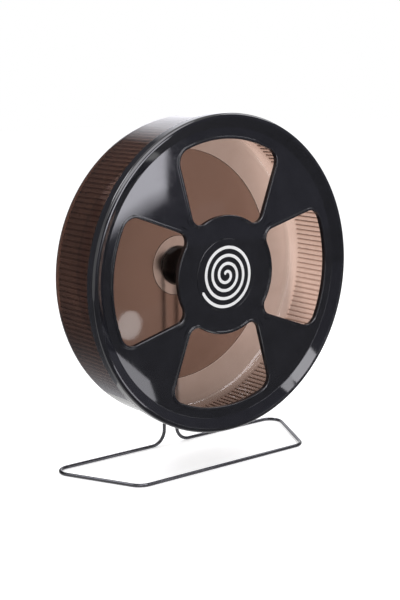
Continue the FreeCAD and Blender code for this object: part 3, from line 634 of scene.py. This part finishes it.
def window_quarters():
    """The four quarters of the cover: bead section carried round each window, then flat face.

    The section runs from the rear face round the window's edge to the front face. From its two
    ends the surface goes straight to the quarter's edge in even steps.
    """
    reach = BEAD_WIDTH + BEAD_SURROUND
    section = rounded([
        (reach, FACE_REAR),
        (BEAD_WIDTH, FACE_REAR, FLANGE_ROUNDING),
        (BEAD_WIDTH, FACE_REAR + BEAD_FLANGE, FLANGE_OUTER_ROUNDING),
        (0, FACE_REAR + BEAD_FLANGE, FLANGE_ROUNDING),
        (0, FACE_DEPTH - BEAD_HEIGHT, BEAD_INNER_ROUNDING),
        (BEAD_WIDTH, FACE_DEPTH - BEAD_HEIGHT, BEAD_OUTER_ROUNDING),
        (BEAD_WIDTH, FACE_DEPTH, BEAD_FOOT_ROUNDING),
        (reach, FACE_DEPTH),
    ], steps=4)
    loops = np.stack([window_loop(grow) for grow in section[:, 0]])
    depths = np.broadcast_to(section[:, 1, None], loops.shape[:2])
    edge = quarter_loop()
    share = np.linspace(0, 1, FACE_STEPS + 1)[1:, None, None]
    face = loops[-1] + (edge - loops[-1]) * share
    face_depths = np.full(face.shape[:2], FACE_DEPTH)
    rear_depths = np.full(face.shape[:2], FACE_REAR)
    flat = np.concatenate([face[::-1], loops, face])
    depth = np.concatenate([rear_depths, depths, face_depths])
    patches = []
    for quarter in range(WINDOW_COUNT):
        turn = WINDOW_TURN + quarter * QUARTER
        across = flat[..., 0] * math.cos(turn) - flat[..., 1] * math.sin(turn)
        up = flat[..., 0] * math.sin(turn) + flat[..., 1] * math.cos(turn)
        patches.append(grid_patch(on_axle(across, depth, up), wrap_columns=True))
    return patches


def cover_rim():
    """Cone, rolled lip, skirt and U channel, from the front face round to the rear face."""
    ring_outer = TREAD_RADIUS - COVER_FIT
    ring_inner = ring_outer - LOCATING_RING_WALL
    cone_rear = FACE_DEPTH * (LIP_CREST_RADIUS - ring_inner) / CONE_WIDTH + COVER_WALL
    groove_radius = SKIRT_INNER_RADIUS + SNAP_HEIGHT
    groove_front = SNAP_DEPTH - COVER_FIT
    groove_rear = SNAP_DEPTH + SNAP_WIDTH + COVER_FIT
    return lathe(rounded([
        (CONE_FOOT_RADIUS, FACE_DEPTH),
        (CONE_FOOT_RADIUS + CONE_FOOT_STEP, FACE_DEPTH, CONE_FOOT_ROUNDING),
        (LIP_CREST_RADIUS, 0, LIP_INNER_ROUNDING),
        (COVER_RADIUS, 0, LIP_OUTER_ROUNDING),
        (COVER_RADIUS, SKIRT_DEPTH, SKIRT_ROUNDING),
        (SKIRT_INNER_RADIUS, SKIRT_DEPTH, SKIRT_ROUNDING),
        (SKIRT_INNER_RADIUS, groove_rear),
        (groove_radius, groove_rear),
        (groove_radius, groove_front),
        (SKIRT_INNER_RADIUS, groove_front),
        (SKIRT_INNER_RADIUS, RIM_DEPTH),
        (ring_outer, RIM_DEPTH),
        (ring_outer, LOCATING_RING_DEPTH, SKIRT_ROUNDING),
        (ring_inner, LOCATING_RING_DEPTH, SKIRT_ROUNDING),
        (ring_inner, cone_rear),
        (CONE_FOOT_RADIUS, FACE_REAR),
    ], steps=4), quarter_angles())


def cover_middle():
    """Middle of the cover: front face with the badge's recess, and the rear face, each to the axle."""
    recess_radius = BADGE_RADIUS + BADGE_FIT
    front = rounded([
        (HUB_PATCH_RADIUS, FACE_DEPTH),
        (recess_radius, FACE_DEPTH, RECESS_ROUNDING),
        (recess_radius, FACE_DEPTH + BADGE_RECESS),
        (0, FACE_DEPTH + BADGE_RECESS),
    ])
    rear = np.array([(HUB_PATCH_RADIUS, FACE_REAR), (0, FACE_REAR)])
    return [lathe(front, quarter_angles()), lathe(rear, quarter_angles())]


make_piece("cover_shell", "wheel", BLACK_GLOSS,
           [*window_quarters(), cover_rim(), *cover_middle()], "front_cover")


# Badge and spiral


def badge_disc():
    """Round plate with a softened front edge."""
    return lathe(rounded([
        (0, BADGE_FRONT),
        (BADGE_RADIUS, BADGE_FRONT, BADGE_ROUNDING),
        (BADGE_RADIUS, FACE_DEPTH + BADGE_RECESS),
        (0, FACE_DEPTH + BADGE_RECESS),
    ]))


def spiral_band():
    """Raised band on a spiral whose radius grows by one pitch a turn, clockwise from the front.

    Its section is flat with softened edges. Half circles round its two ends by narrowing it there.
    """
    turned = np.linspace(0, SPIRAL_TURNS, SPIRAL_STEPS)
    radius = SPIRAL_INNER_RADIUS + SPIRAL_PITCH * turned
    angle = SPIRAL_END + 2 * np.pi * (SPIRAL_TURNS - turned)
    step = np.hypot(np.gradient(radius), radius * np.gradient(angle))
    run = np.concatenate([[0], np.cumsum((step[1:] + step[:-1]) / 2)])
    half = SPIRAL_WIDTH / 2
    to_end = np.clip(np.minimum(run, run[-1] - run) / half, 0, 1)
    swell = np.sqrt(1 - (1 - to_end) ** 2)
    section = rounded([
        (-half, BADGE_FRONT),
        (-half, BADGE_FRONT - SPIRAL_THICKNESS, SPIRAL_ROUNDING),
        (half, BADGE_FRONT - SPIRAL_THICKNESS, SPIRAL_ROUNDING),
        (half, BADGE_FRONT),
    ], steps=3)
    reach = radius[:, None] + swell[:, None] * section[:, 0]
    across = reach * np.cos(angle)[:, None]
    up = reach * np.sin(angle)[:, None]
    return grid_patch(on_axle(across, section[:, 1], up), wrap_columns=True)


make_piece("badge_plate", "wheel", BLACK_GLOSS, [badge_disc()], "hub_badge")
make_piece("spiral_line", "wheel", WHITE_PRINT, [spiral_band()], "spiral_inlay")


# Drum


def drum_shell():
    """Drum's wall carried round the axle, with the tread drawn in by the ribs.

    The radius of a tread point is the tread's radius less the ribs' height times the ribs'
    section, a trapezium repeated evenly round the wheel.
    """
    slope = DISH_DEPTH / (TREAD_RADIUS - DISC_RADIUS)
    wall_rear = BACK_DEPTH + DRUM_WALL
    disc_rear = BACK_DEPTH + DISC_WALL
    snap_ramp = SNAP_WIDTH / 4
    snap_radius = DRUM_RADIUS + SNAP_HEIGHT
    rib_end = RIB_REAR - RIB_TAIL
    rib_rows = np.array([
        (TREAD_RADIUS, RIB_FRONT, 0),
        (TREAD_RADIUS, RIB_FRONT + RIB_END_SLOPE, 1),
        (TREAD_RADIUS, rib_end - RIB_END_SLOPE, 1),
        (TREAD_RADIUS, rib_end, 0),
    ])
    shoulder = rounded([
        (TREAD_RADIUS, RIB_REAR),
        (TREAD_RADIUS, BACK_DEPTH - DISH_DEPTH, SHOULDER_ROUNDING),
        (DISC_RADIUS, BACK_DEPTH, DRUM_ROUNDING),
        (HUB_HOLE_RADIUS, BACK_DEPTH),
        (HUB_HOLE_RADIUS, wall_rear),
        (DISC_INNER_RADIUS, wall_rear, DRUM_ROUNDING),
        (DISC_INNER_RADIUS, disc_rear, DISC_INNER_ROUNDING),
        (DISC_RADIUS, disc_rear, DISC_ROUNDING),
        (DISC_RADIUS, wall_rear, DRUM_ROUNDING),
        (DRUM_RADIUS, wall_rear - slope * (DRUM_RADIUS - DISC_RADIUS), SHOULDER_ROUNDING + DRUM_WALL),
        (DRUM_RADIUS, SNAP_DEPTH + SNAP_WIDTH),
        (snap_radius, SNAP_DEPTH + SNAP_WIDTH - snap_ramp),
        (snap_radius, SNAP_DEPTH + snap_ramp),
        (DRUM_RADIUS, SNAP_DEPTH),
        (DRUM_RADIUS, RIM_DEPTH, DRUM_ROUNDING),
        (TREAD_RADIUS, RIM_DEPTH, DRUM_ROUNDING),
        (TREAD_RADIUS, RIB_FRONT),
    ], steps=5)[1:-1]
    plain = np.column_stack([shoulder, np.zeros(len(shoulder))])
    radius, depth, ribbed = np.concatenate([rib_rows, plain]).T
    pitch = 2 * np.pi / RIB_COUNT
    valley = pitch * TREAD_RADIUS / 2
    offsets = np.array([-RIB_FOOT_HALF, -RIB_TIP_HALF, RIB_TIP_HALF, RIB_FOOT_HALF, valley])
    crest = np.array([0.0, 1.0, 1.0, 0.0, 0.0])
    angle = (np.arange(RIB_COUNT)[:, None] * pitch + offsets / TREAD_RADIUS).ravel()
    height = RIB_HEIGHT * np.tile(crest, RIB_COUNT)
    reach = radius - height[:, None] * ribbed
    across = reach * np.cos(angle)[:, None]
    up = reach * np.sin(angle)[:, None]
    return grid_patch(on_axle(across, depth, up), wrap_rows=True, wrap_columns=True)


make_piece("drum_shell", "wheel", SMOKED, [drum_shell()], "drum", sharp=30)


# Hub


def hub_shell():
    """Hub: flange on the back wall, and a tube with two bearing seats."""
    low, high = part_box("bearing_hub")
    front = low.y - LIP_Y
    rear = high.y - LIP_Y
    wall_rear = BACK_DEPTH + DRUM_WALL
    flange_rear = wall_rear + HUB_FLANGE_WALL
    return lathe(rounded([
        (HUB_BORE_RADIUS, front),
        (HUB_TUBE_RADIUS, front, HUB_END_ROUNDING),
        (HUB_TUBE_RADIUS, wall_rear),
        (HUB_FLANGE_RADIUS, wall_rear),
        (HUB_FLANGE_RADIUS, flange_rear, HUB_FLANGE_ROUNDING),
        (HUB_TUBE_RADIUS, flange_rear, HUB_FLANGE_FILLET),
        (HUB_TUBE_RADIUS, rear, HUB_END_ROUNDING),
        (HUB_BORE_RADIUS, rear, HUB_BORE_ROUNDING),
        (HUB_BORE_RADIUS, rear - BEARING_SEAT),
        (HUB_SHOULDER_RADIUS, rear - BEARING_SEAT),
        (HUB_SHOULDER_RADIUS, front + BEARING_SEAT),
        (HUB_BORE_RADIUS, front + BEARING_SEAT),
        (HUB_BORE_RADIUS, front + HUB_SEAM),
    ]), closed=True)


def cap_shell():
    """Black cap: half an egg outside, and the hollow that takes the hub's tube and nut.

    The outside's radius is the base's times the cosine of an angle, and its length the sine's.
    """
    nose = BACK_DEPTH - CAP_LENGTH
    seat_radius = HUB_TUBE_RADIUS + CAP_FIT
    seat_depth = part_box("bearing_hub")[0].y - LIP_Y - CAP_SEAT_GAP
    cavity_front = nose + CAP_NOSE_WALL
    rise = np.linspace(np.pi / 2, 0, CAP_STEPS)
    egg = np.stack([CAP_BASE_RADIUS * np.cos(rise), BACK_DEPTH - CAP_LENGTH * np.sin(rise)], axis=-1)
    hollow = rounded([
        (CAP_BASE_RADIUS, BACK_DEPTH),
        (seat_radius, BACK_DEPTH),
        (seat_radius, seat_depth),
        (CAP_CAVITY_RADIUS, seat_depth),
        (CAP_CAVITY_RADIUS, cavity_front, CAP_CAVITY_ROUNDING),
        (0, cavity_front),
    ])
    return lathe(np.concatenate([egg, hollow[1:]]))


make_piece("hub_body", "wheel", BLOCK_PLASTIC, [hub_shell()], "bearing_hub")
make_piece("cap_dome", "wheel", CAP_SHADED_BLACK, [cap_shell()], "hub_cap")


# Stand


def wire_path():
    """Middle line of the wire: down an upright, round the floor loop and up the other upright."""
    block_low, block_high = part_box("axle_block")
    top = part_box("stand_wire")[1].z
    rear = (block_low.y + block_high.y) / 2
    front = LIP_Y + FRONT_BAR_DEPTH
    left = [
        (-UPRIGHT_SPACING / 2, rear, top, 0),
        (-UPRIGHT_SPACING / 2, rear, WIRE_RADIUS, UPRIGHT_BEND),
        (-REAR_WIDTH / 2, rear, WIRE_RADIUS, REAR_BEND),
        (-FRONT_WIDTH / 2, front, WIRE_RADIUS, FRONT_BEND),
    ]
    right = [(-x, y, z, bend) for x, y, z, bend in reversed(left)]
    return np.array(left + right)


def bent_line(spots, steps=14):
    """Straight runs through the spots (x, y, z, bend), each corner an arc in the plane of its runs.

    On an arc the point is the arc's start, plus the bend times the sine of the swing along the
    arriving run, plus the bend times one less its cosine towards the leaving run. Long runs are
    cut into even lengths.
    """
    places, bends = spots[:, :3], spots[:, 3]
    line = [places[:1]]
    for before, corner, after, bend in zip(places, places[1:], places[2:], bends[1:]):
        arriving = (corner - before) / np.linalg.norm(corner - before)
        leaving = (after - corner) / np.linalg.norm(after - corner)
        turn = math.acos(np.clip(arriving @ leaving, -1, 1))
        start = corner - arriving * bend * math.tan(turn / 2)
        inward = leaving - arriving * (arriving @ leaving)
        inward /= np.linalg.norm(inward)
        swing = np.linspace(0, turn, steps + 1)[:, None]
        arc = start + arriving * bend * np.sin(swing) + inward * bend * (1 - np.cos(swing))
        run = np.linspace(0, 1, steps)[1:-1, None]
        line += [line[-1][-1] + (arc[0] - line[-1][-1]) * run, arc]
    run = np.linspace(0, 1, steps)[1:, None]
    line.append(line[-1][-1] + (places[-1] - line[-1][-1]) * run)
    return np.concatenate(line)


def wire_tube(sides=24):
    """Round section carried along the wire's middle line, its ends drawn in to blunt tips.

    At each point the section lies square to the line. Its first arm is the line's direction
    crossed with a fixed slanted vector, its second arm the direction crossed with the first.
    """
    line = bent_line(wire_path())
    along = np.gradient(line, axis=0)
    along /= np.linalg.norm(along, axis=1)[:, None]
    slanted = np.array([0.36, 0.48, 0.8])
    first = np.cross(along, slanted)
    first /= np.linalg.norm(first, axis=1)[:, None]
    second = np.cross(along, first)
    ends = np.concatenate([line[:1], line[:1], line[:1] + along[:1] * WIRE_TIP, line[1:-1],
                           line[-1:] - along[-1:] * WIRE_TIP, line[-1:], line[-1:]])
    drawn_in = WIRE_RADIUS - WIRE_TIP
    thick = np.concatenate([[0, drawn_in], np.full(len(line), WIRE_RADIUS), [drawn_in, 0]])
    arms = [np.concatenate([arm[:1], arm[:1], arm, arm[-1:], arm[-1:]]) for arm in (first, second)]
    angle = np.linspace(0, 2 * np.pi, sides, endpoint=False)
    ring = arms[0][:, None] * np.cos(angle)[:, None] + arms[1][:, None] * np.sin(angle)[:, None]
    return grid_patch(ends[:, None] + ring * thick[:, None, None], wrap_columns=True)


make_piece("stand_loop", "stand", DARK_NICKEL, [wire_tube()], "stand_wire", sharp=50)


# Finishes of the solids, by their slots in the record

FINISHES = {
    "stand_wire": DARK_NICKEL,
    "block_plastic": BLOCK_PLASTIC,
    "zinc_steel": ZINC_STEEL,
    "hub_nylon": HUB_NYLON,
    "bearing_steel": BEARING_STEEL,
    "black_gloss": BLACK_GLOSS,
    "smoked_plastic": SMOKED,
    "white_print": WHITE_PRINT,
}
for subpart in frame["record"]["subparts"]:
    node = frame["nodes"][subpart["node"]]
    for place in node.material_slots:
        place.material = FINISHES[subpart["material_slot"]]


# Studio

FLOOR_WHITE = 0.86
FLOOR_LIFT = 0.5
ROOM_LIGHT = 0.75
LAMP_COLOUR = (0.96, 0.95, 1.0)


def stage_card(name, corners, material, seen_by=("glossy",)):
    """Flat card from its four corners, seen only by the named kinds of ray."""
    mesh = bpy.data.meshes.new(name)
    mesh.from_pydata(corners, [], [(0, 1, 2, 3)])
    mesh.materials.append(material)
    card = bpy.data.objects.new(name, mesh)
    bpy.context.scene.collection.objects.link(card)
    for kind in ("camera", "diffuse", "glossy", "transmission", "volume_scatter", "shadow"):
        setattr(card, f"visible_{kind}", kind in seen_by)


def lying(x, y, z):
    """Corners of a level card from its ranges across and along and its height."""
    return [(x[0], y[0], z), (x[1], y[0], z), (x[1], y[1], z), (x[0], y[1], z)]


def standing(x, y, z):
    """Corners of an upright card across the room from its ranges across and up and its place."""
    return [(x[0], y, z[0]), (x[1], y, z[0]), (x[1], y, z[1]), (x[0], y, z[1])]


def sideways(x, y, z):
    """Corners of an upright card along the room from its place and its ranges along and up."""
    return [(x, y[0], z[0]), (x, y[1], z[0]), (x, y[1], z[1]), (x, y[0], z[1])]


def leaning(x, y, z):
    """Corners of a card that rises along the room, from its three ranges."""
    return [(x[0], y[0], z[0]), (x[1], y[0], z[0]), (x[1], y[1], z[1]), (x[0], y[1], z[1])]


def seen_rays(tree):
    """One where the ray comes from the camera, a reflection or through plastic, else zero."""
    rays = add_node(tree, "ShaderNodeLightPath")
    most = rays.outputs["Is Camera Ray"]
    for name in ("Is Glossy Ray", "Is Transmission Ray"):
        step = add_node(tree, "ShaderNodeMath", operation="MAXIMUM")
        tree.links.new(most, step.inputs[0])
        tree.links.new(rays.outputs[name], step.inputs[1])
        most = step.outputs[0]
    return most


def bare_material(name):
    """Material with an empty node tree and its output."""
    material = bpy.data.materials.new(name)
    material.use_nodes = True
    tree = material.node_tree
    tree.nodes.clear()
    return material, tree, add_node(tree, "ShaderNodeOutputMaterial")


def pale_floor():
    """White floor that keeps the shadow, lifted to white where it is seen."""
    material, tree, output = bare_material("pale_floor")
    matte = add_node(tree, "ShaderNodeBsdfDiffuse", {"Color": (FLOOR_WHITE, FLOOR_WHITE, FLOOR_WHITE, 1)})
    lift = add_node(tree, "ShaderNodeEmission", {"Color": (1, 1, 1, 1)})
    both = add_node(tree, "ShaderNodeAddShader")
    share = add_node(tree, "ShaderNodeMath", {1: FLOOR_LIFT}, operation="MULTIPLY")
    tree.links.new(seen_rays(tree), share.inputs[0])
    tree.links.new(share.outputs[0], lift.inputs["Strength"])
    tree.links.new(matte.outputs[0], both.inputs[0])
    tree.links.new(lift.outputs[0], both.inputs[1])
    tree.links.new(both.outputs[0], output.inputs["Surface"])
    return material


def card_output(tree, output, level, clear):
    """Glow of a level, on a card that hides what is behind it or on a clear sheet."""
    glow = add_node(tree, "ShaderNodeEmission")
    tree.links.new(level, glow.inputs["Strength"])
    surface = glow
    if clear:
        surface = add_node(tree, "ShaderNodeAddShader")
        tree.links.new(glow.outputs[0], surface.inputs[0])
        tree.links.new(add_node(tree, "ShaderNodeBsdfTransparent").outputs[0], surface.inputs[1])
    tree.links.new(surface.outputs[0], output.inputs["Surface"])
    return glow


def plain_card(name, colour, strength):
    """Card of one even brightness."""
    material, tree, output = bare_material(name)
    glow = add_node(tree, "ShaderNodeEmission", {"Color": (*colour, 1), "Strength": strength})
    tree.links.new(glow.outputs[0], output.inputs["Surface"])
    return material


def ramp_card(name, direction, span, levels, power=1.0, clear=False, colour=(1, 1, 1)):
    """Card whose glow goes from one level to another along a direction, as a power of the way."""
    material, tree, output = bare_material(name)
    along = add_node(tree, "ShaderNodeVectorMath", {1: direction}, operation="DOT_PRODUCT")
    tree.links.new(add_node(tree, "ShaderNodeTexCoord").outputs["Object"], along.inputs[0])
    share = range_node(tree, along.outputs["Value"], *span, 0.0, 1.0)
    curve = add_node(tree, "ShaderNodeMath", {1: power}, operation="POWER")
    tree.links.new(share.outputs[0], curve.inputs[0])
    level = range_node(tree, curve.outputs[0], 0.0, 1.0, *levels)
    glow = card_output(tree, output, level.outputs[0], clear)
    glow.inputs["Color"].default_value = (*colour, 1)
    return material


def round_card(name, middle, radii, strength):
    """Clear sheet with a round glow that fades between two radii."""
    material, tree, output = bare_material(name)
    away = add_node(tree, "ShaderNodeVectorMath", {1: middle}, operation="DISTANCE")
    tree.links.new(add_node(tree, "ShaderNodeTexCoord").outputs["Object"], away.inputs[0])
    level = range_node(tree, away.outputs["Value"], *radii, strength, 0.0)
    card_output(tree, output, level.outputs[0], clear=True)
    return material


def white_room():
    """World that is white where it is seen and a soft grey light elsewhere."""
    world = bpy.data.worlds.new("white_room")
    bpy.context.scene.world = world
    world.use_nodes = True
    tree = world.node_tree
    background = next(n for n in tree.nodes if n.type == "BACKGROUND")
    background.inputs["Color"].default_value = (1, 1, 1, 1)
    level = range_node(tree, seen_rays(tree), 0, 1, ROOM_LIGHT, 1.0)
    tree.links.new(level.outputs[0], background.inputs["Strength"])


def softbox(name, place, facing, width, height, radiance, through_plastic=True):
    """Rectangular lamp of a given radiance at a place, facing a direction, hidden from the camera."""
    lamp = bpy.data.lights.new(name, "AREA")
    lamp.shape = "RECTANGLE"
    lamp.size = width
    lamp.size_y = height
    lamp.energy = radiance * math.pi * width * height
    lamp.color = LAMP_COLOUR
    box = bpy.data.objects.new(name, lamp)
    turn = Vector(facing).to_track_quat("-Z", "Y").to_matrix().to_4x4()
    box.matrix_world = Matrix.Translation(place) @ turn
    box.visible_camera = False
    box.visible_transmission = through_plastic
    bpy.context.scene.collection.objects.link(box)


stage_card("floor", lying((-6, 6), (-6, 6), 0), pale_floor(),
           ("camera", "diffuse", "transmission", "shadow"))
white_room()

# Lamps: high in front, behind, at the upper left and at the upper right
softbox("high_box", place=(0.0, -1.06, 0.70), facing=(0, 1.0, -0.52),
        width=0.38, height=0.32, radiance=6.0)
softbox("rear_box", place=(0.30, 0.90, 0.97), facing=(-0.3, -0.9, -0.8),
        width=0.50, height=0.35, radiance=2.0, through_plastic=False)
softbox("left_box", place=(-0.42, 0.234, 0.71), facing=(0.58, -0.32, -0.75),
        width=0.24, height=0.24, radiance=8.0, through_plastic=False)
softbox("right_box", place=(0.66, -0.22, 0.88), facing=(-0.62, 0.15, -0.74),
        width=0.40, height=0.40, radiance=5.0, through_plastic=False)

# Dark and shaded glow cards seen only in reflections: painted dark reflections on the black cover and
# painted shade on the drum's side
SHADE = plain_card("shade_card", (0.85, 0.85, 1.0), 0.2)
FLOOR_SHADE = plain_card("floor_shade_card", (1, 1, 1), 0.12)
SIDE_SHADE = ramp_card("side_shade_card", (1, 0, 0), (0.03, 0.165), (0.12, 1.8),
                       colour=(0.94, 0.94, 1.0))
SIDE_FLOOR = ramp_card("side_floor_card", (1, 0, 0), (-0.24, -0.06), (0.12, 0.65), power=2.2,
                       colour=(0.94, 0.95, 1.0))
stage_card("front_shade", standing((-0.75, 2.25), -1.15, (0, 1.0)), SHADE)
stage_card("right_shade", sideways(1.2, (-1.9, 0.1), (0, 1.6)), SHADE)
stage_card("front_floor_shade", lying((-0.75, 2.25), (-1.15, -0.07), 0.004), FLOOR_SHADE)
stage_card("side_shade", standing((-0.78, 0.40), 0.40, (0, 0.70)), SIDE_SHADE)
stage_card("side_floor_shade", lying((-0.79, -0.05), (0.08, 0.40), 0.004), SIDE_FLOOR)

# Glowing cards seen only in reflections, not lamps: painted reflections on the black cover and the inside
# of the drum
FRONT_GLOW = ramp_card("front_glow_card", (-0.4375, 0, 1), (-0.205, -0.165), (0.0, 7.0), clear=True,
                       colour=(0.93, 0.92, 1.0))
LOW_GLOW = plain_card("low_glow_card", (0.95, 0.94, 1.0), 3.6)
OVER_GLOW = plain_card("over_glow_card", (0.96, 0.95, 1.0), 5.0)
NEAR_GLOW = plain_card("near_glow_card", (0.96, 0.95, 1.0), 2.0)
ROUND_GLOW = round_card("round_glow_card", (0.095, -0.2, 0.0687), (0.015, 0.018), 4.3)
# Painted reflections: the front and low glows make the pale patches on the cover's face, the round glow
# the pale oval on the drum's back wall, the over and near glows the streaks on the drum's inner shoulder
stage_card("front_glow", standing((0.40, 0.702), -1.10, (0, 0.26)), FRONT_GLOW)
stage_card("over_glow", leaning((-0.65, 0.25), (-0.95, -0.25), (0.62, 1.05)), OVER_GLOW)
stage_card("near_glow", standing((-0.95, -0.55), -1.05, (0.28, 0.55)), NEAR_GLOW)
stage_card("low_glow", [(0.0125, -0.25, 0.0695), (0.058, -0.25, 0.0292), (0.068, -0.25, 0.001),
                        (-0.010, -0.25, 0.001)], LOW_GLOW)
stage_card("round_glow", standing((0.07, 0.12), -0.2, (0.045, 0.093)), ROUND_GLOW)

# Cards behind and under the wheel, seen only through the smoked plastic: painted light and shade behind
# the drum, and the wheel's painted shadow on the floor
THROUGH_PLASTIC = ("transmission",)
# The glow at the right paints light behind the drum's right side; the upright card behind the left paints
# shade that brightens towards the right; the floor cards paint shade behind the wheel, darker to the
# left, and the wheel's shadow under it, darker close under the wheel
RIGHT_GLOW = ramp_card("right_glow_card", (1, 0, 0.44), (0.375, 0.405), (0.0, 0.95), clear=True)
PAINTED_BACK_SHADE = ramp_card("painted_back_shade_card", (1, 0, -0.275), (0.165, 0.192), (0.22, 1.3))
PAINTED_BACK_FLOOR_SHADE = ramp_card("painted_back_floor_shade_card", (1, -0.5, 0), (-0.04, -0.015), (0.25, 1.0))
PAINTED_FLOOR_SHADOW = ramp_card("painted_floor_shadow_card", (0.35, 1, 0), (0.15, 0.27), (0.55, 1.0))
stage_card("right_glow", standing((0.25, 0.70), 0.25, (0, 0.60)), RIGHT_GLOW, THROUGH_PLASTIC)
stage_card("painted_back_shade", standing((0.08, 0.36), 0.50, (0, 0.60)), PAINTED_BACK_SHADE, THROUGH_PLASTIC)
stage_card("painted_back_floor_shade", lying((-0.40, 0.30), (0.05, 0.50), 0.003), PAINTED_BACK_FLOOR_SHADE, THROUGH_PLASTIC)
stage_card("painted_floor_shadow", lying((0.0, 0.40), (0.06, 0.30), 0.0035), PAINTED_FLOOR_SHADOW, THROUGH_PLASTIC)


# Camera at the photograph's viewing angle

AZIMUTH = math.radians(-39.1)
ELEVATION = math.radians(9.67)
DISTANCE = 1.0172
ROLL = math.radians(-0.277)
LENS_PX = 1168.6
FRAME_PX = (400, 600)
LIP_MIDDLE_PX = (230.0, 275.8)
SENSOR = 36.0
CLIP_START = 0.01


def photo_camera():
    """Camera on its line to the lip's middle, yawed and pitched so that point lands on its pixel."""
    back = Vector((math.sin(AZIMUTH) * math.cos(ELEVATION),
                   -math.cos(AZIMUTH) * math.cos(ELEVATION), math.sin(ELEVATION)))
    forward = -back
    right = forward.cross(Vector((0, 0, 1))).normalized()
    up = right.cross(forward)
    yaw = math.atan((LIP_MIDDLE_PX[0] - FRAME_PX[0] / 2) / LENS_PX)
    pitch = math.atan((FRAME_PX[1] / 2 - LIP_MIDDLE_PX[1]) / LENS_PX * math.cos(yaw))
    turned = forward * math.cos(yaw) - right * math.sin(yaw)
    side = right * math.cos(yaw) + forward * math.sin(yaw)
    aim = turned * math.cos(pitch) - up * math.sin(pitch)
    top = up * math.cos(pitch) + turned * math.sin(pitch)
    across = side * math.cos(ROLL) + top * math.sin(ROLL)
    above = top * math.cos(ROLL) - side * math.sin(ROLL)
    data = bpy.data.cameras.new("photo_camera")
    data.sensor_fit = "VERTICAL"
    data.sensor_height = SENSOR
    data.lens = LENS_PX / FRAME_PX[1] * SENSOR
    data.clip_start = CLIP_START
    camera = bpy.data.objects.new("photo_camera", data)
    place = Vector((0, LIP_Y, AXLE_Z)) + back * DISTANCE
    turn = Matrix((across, above, -aim)).transposed().to_4x4()
    camera.matrix_world = Matrix.Translation(place) @ turn
    bpy.context.scene.collection.objects.link(camera)
    bpy.context.scene.camera = camera


photo_camera()
bpy.context.scene.view_settings.view_transform = "Standard"
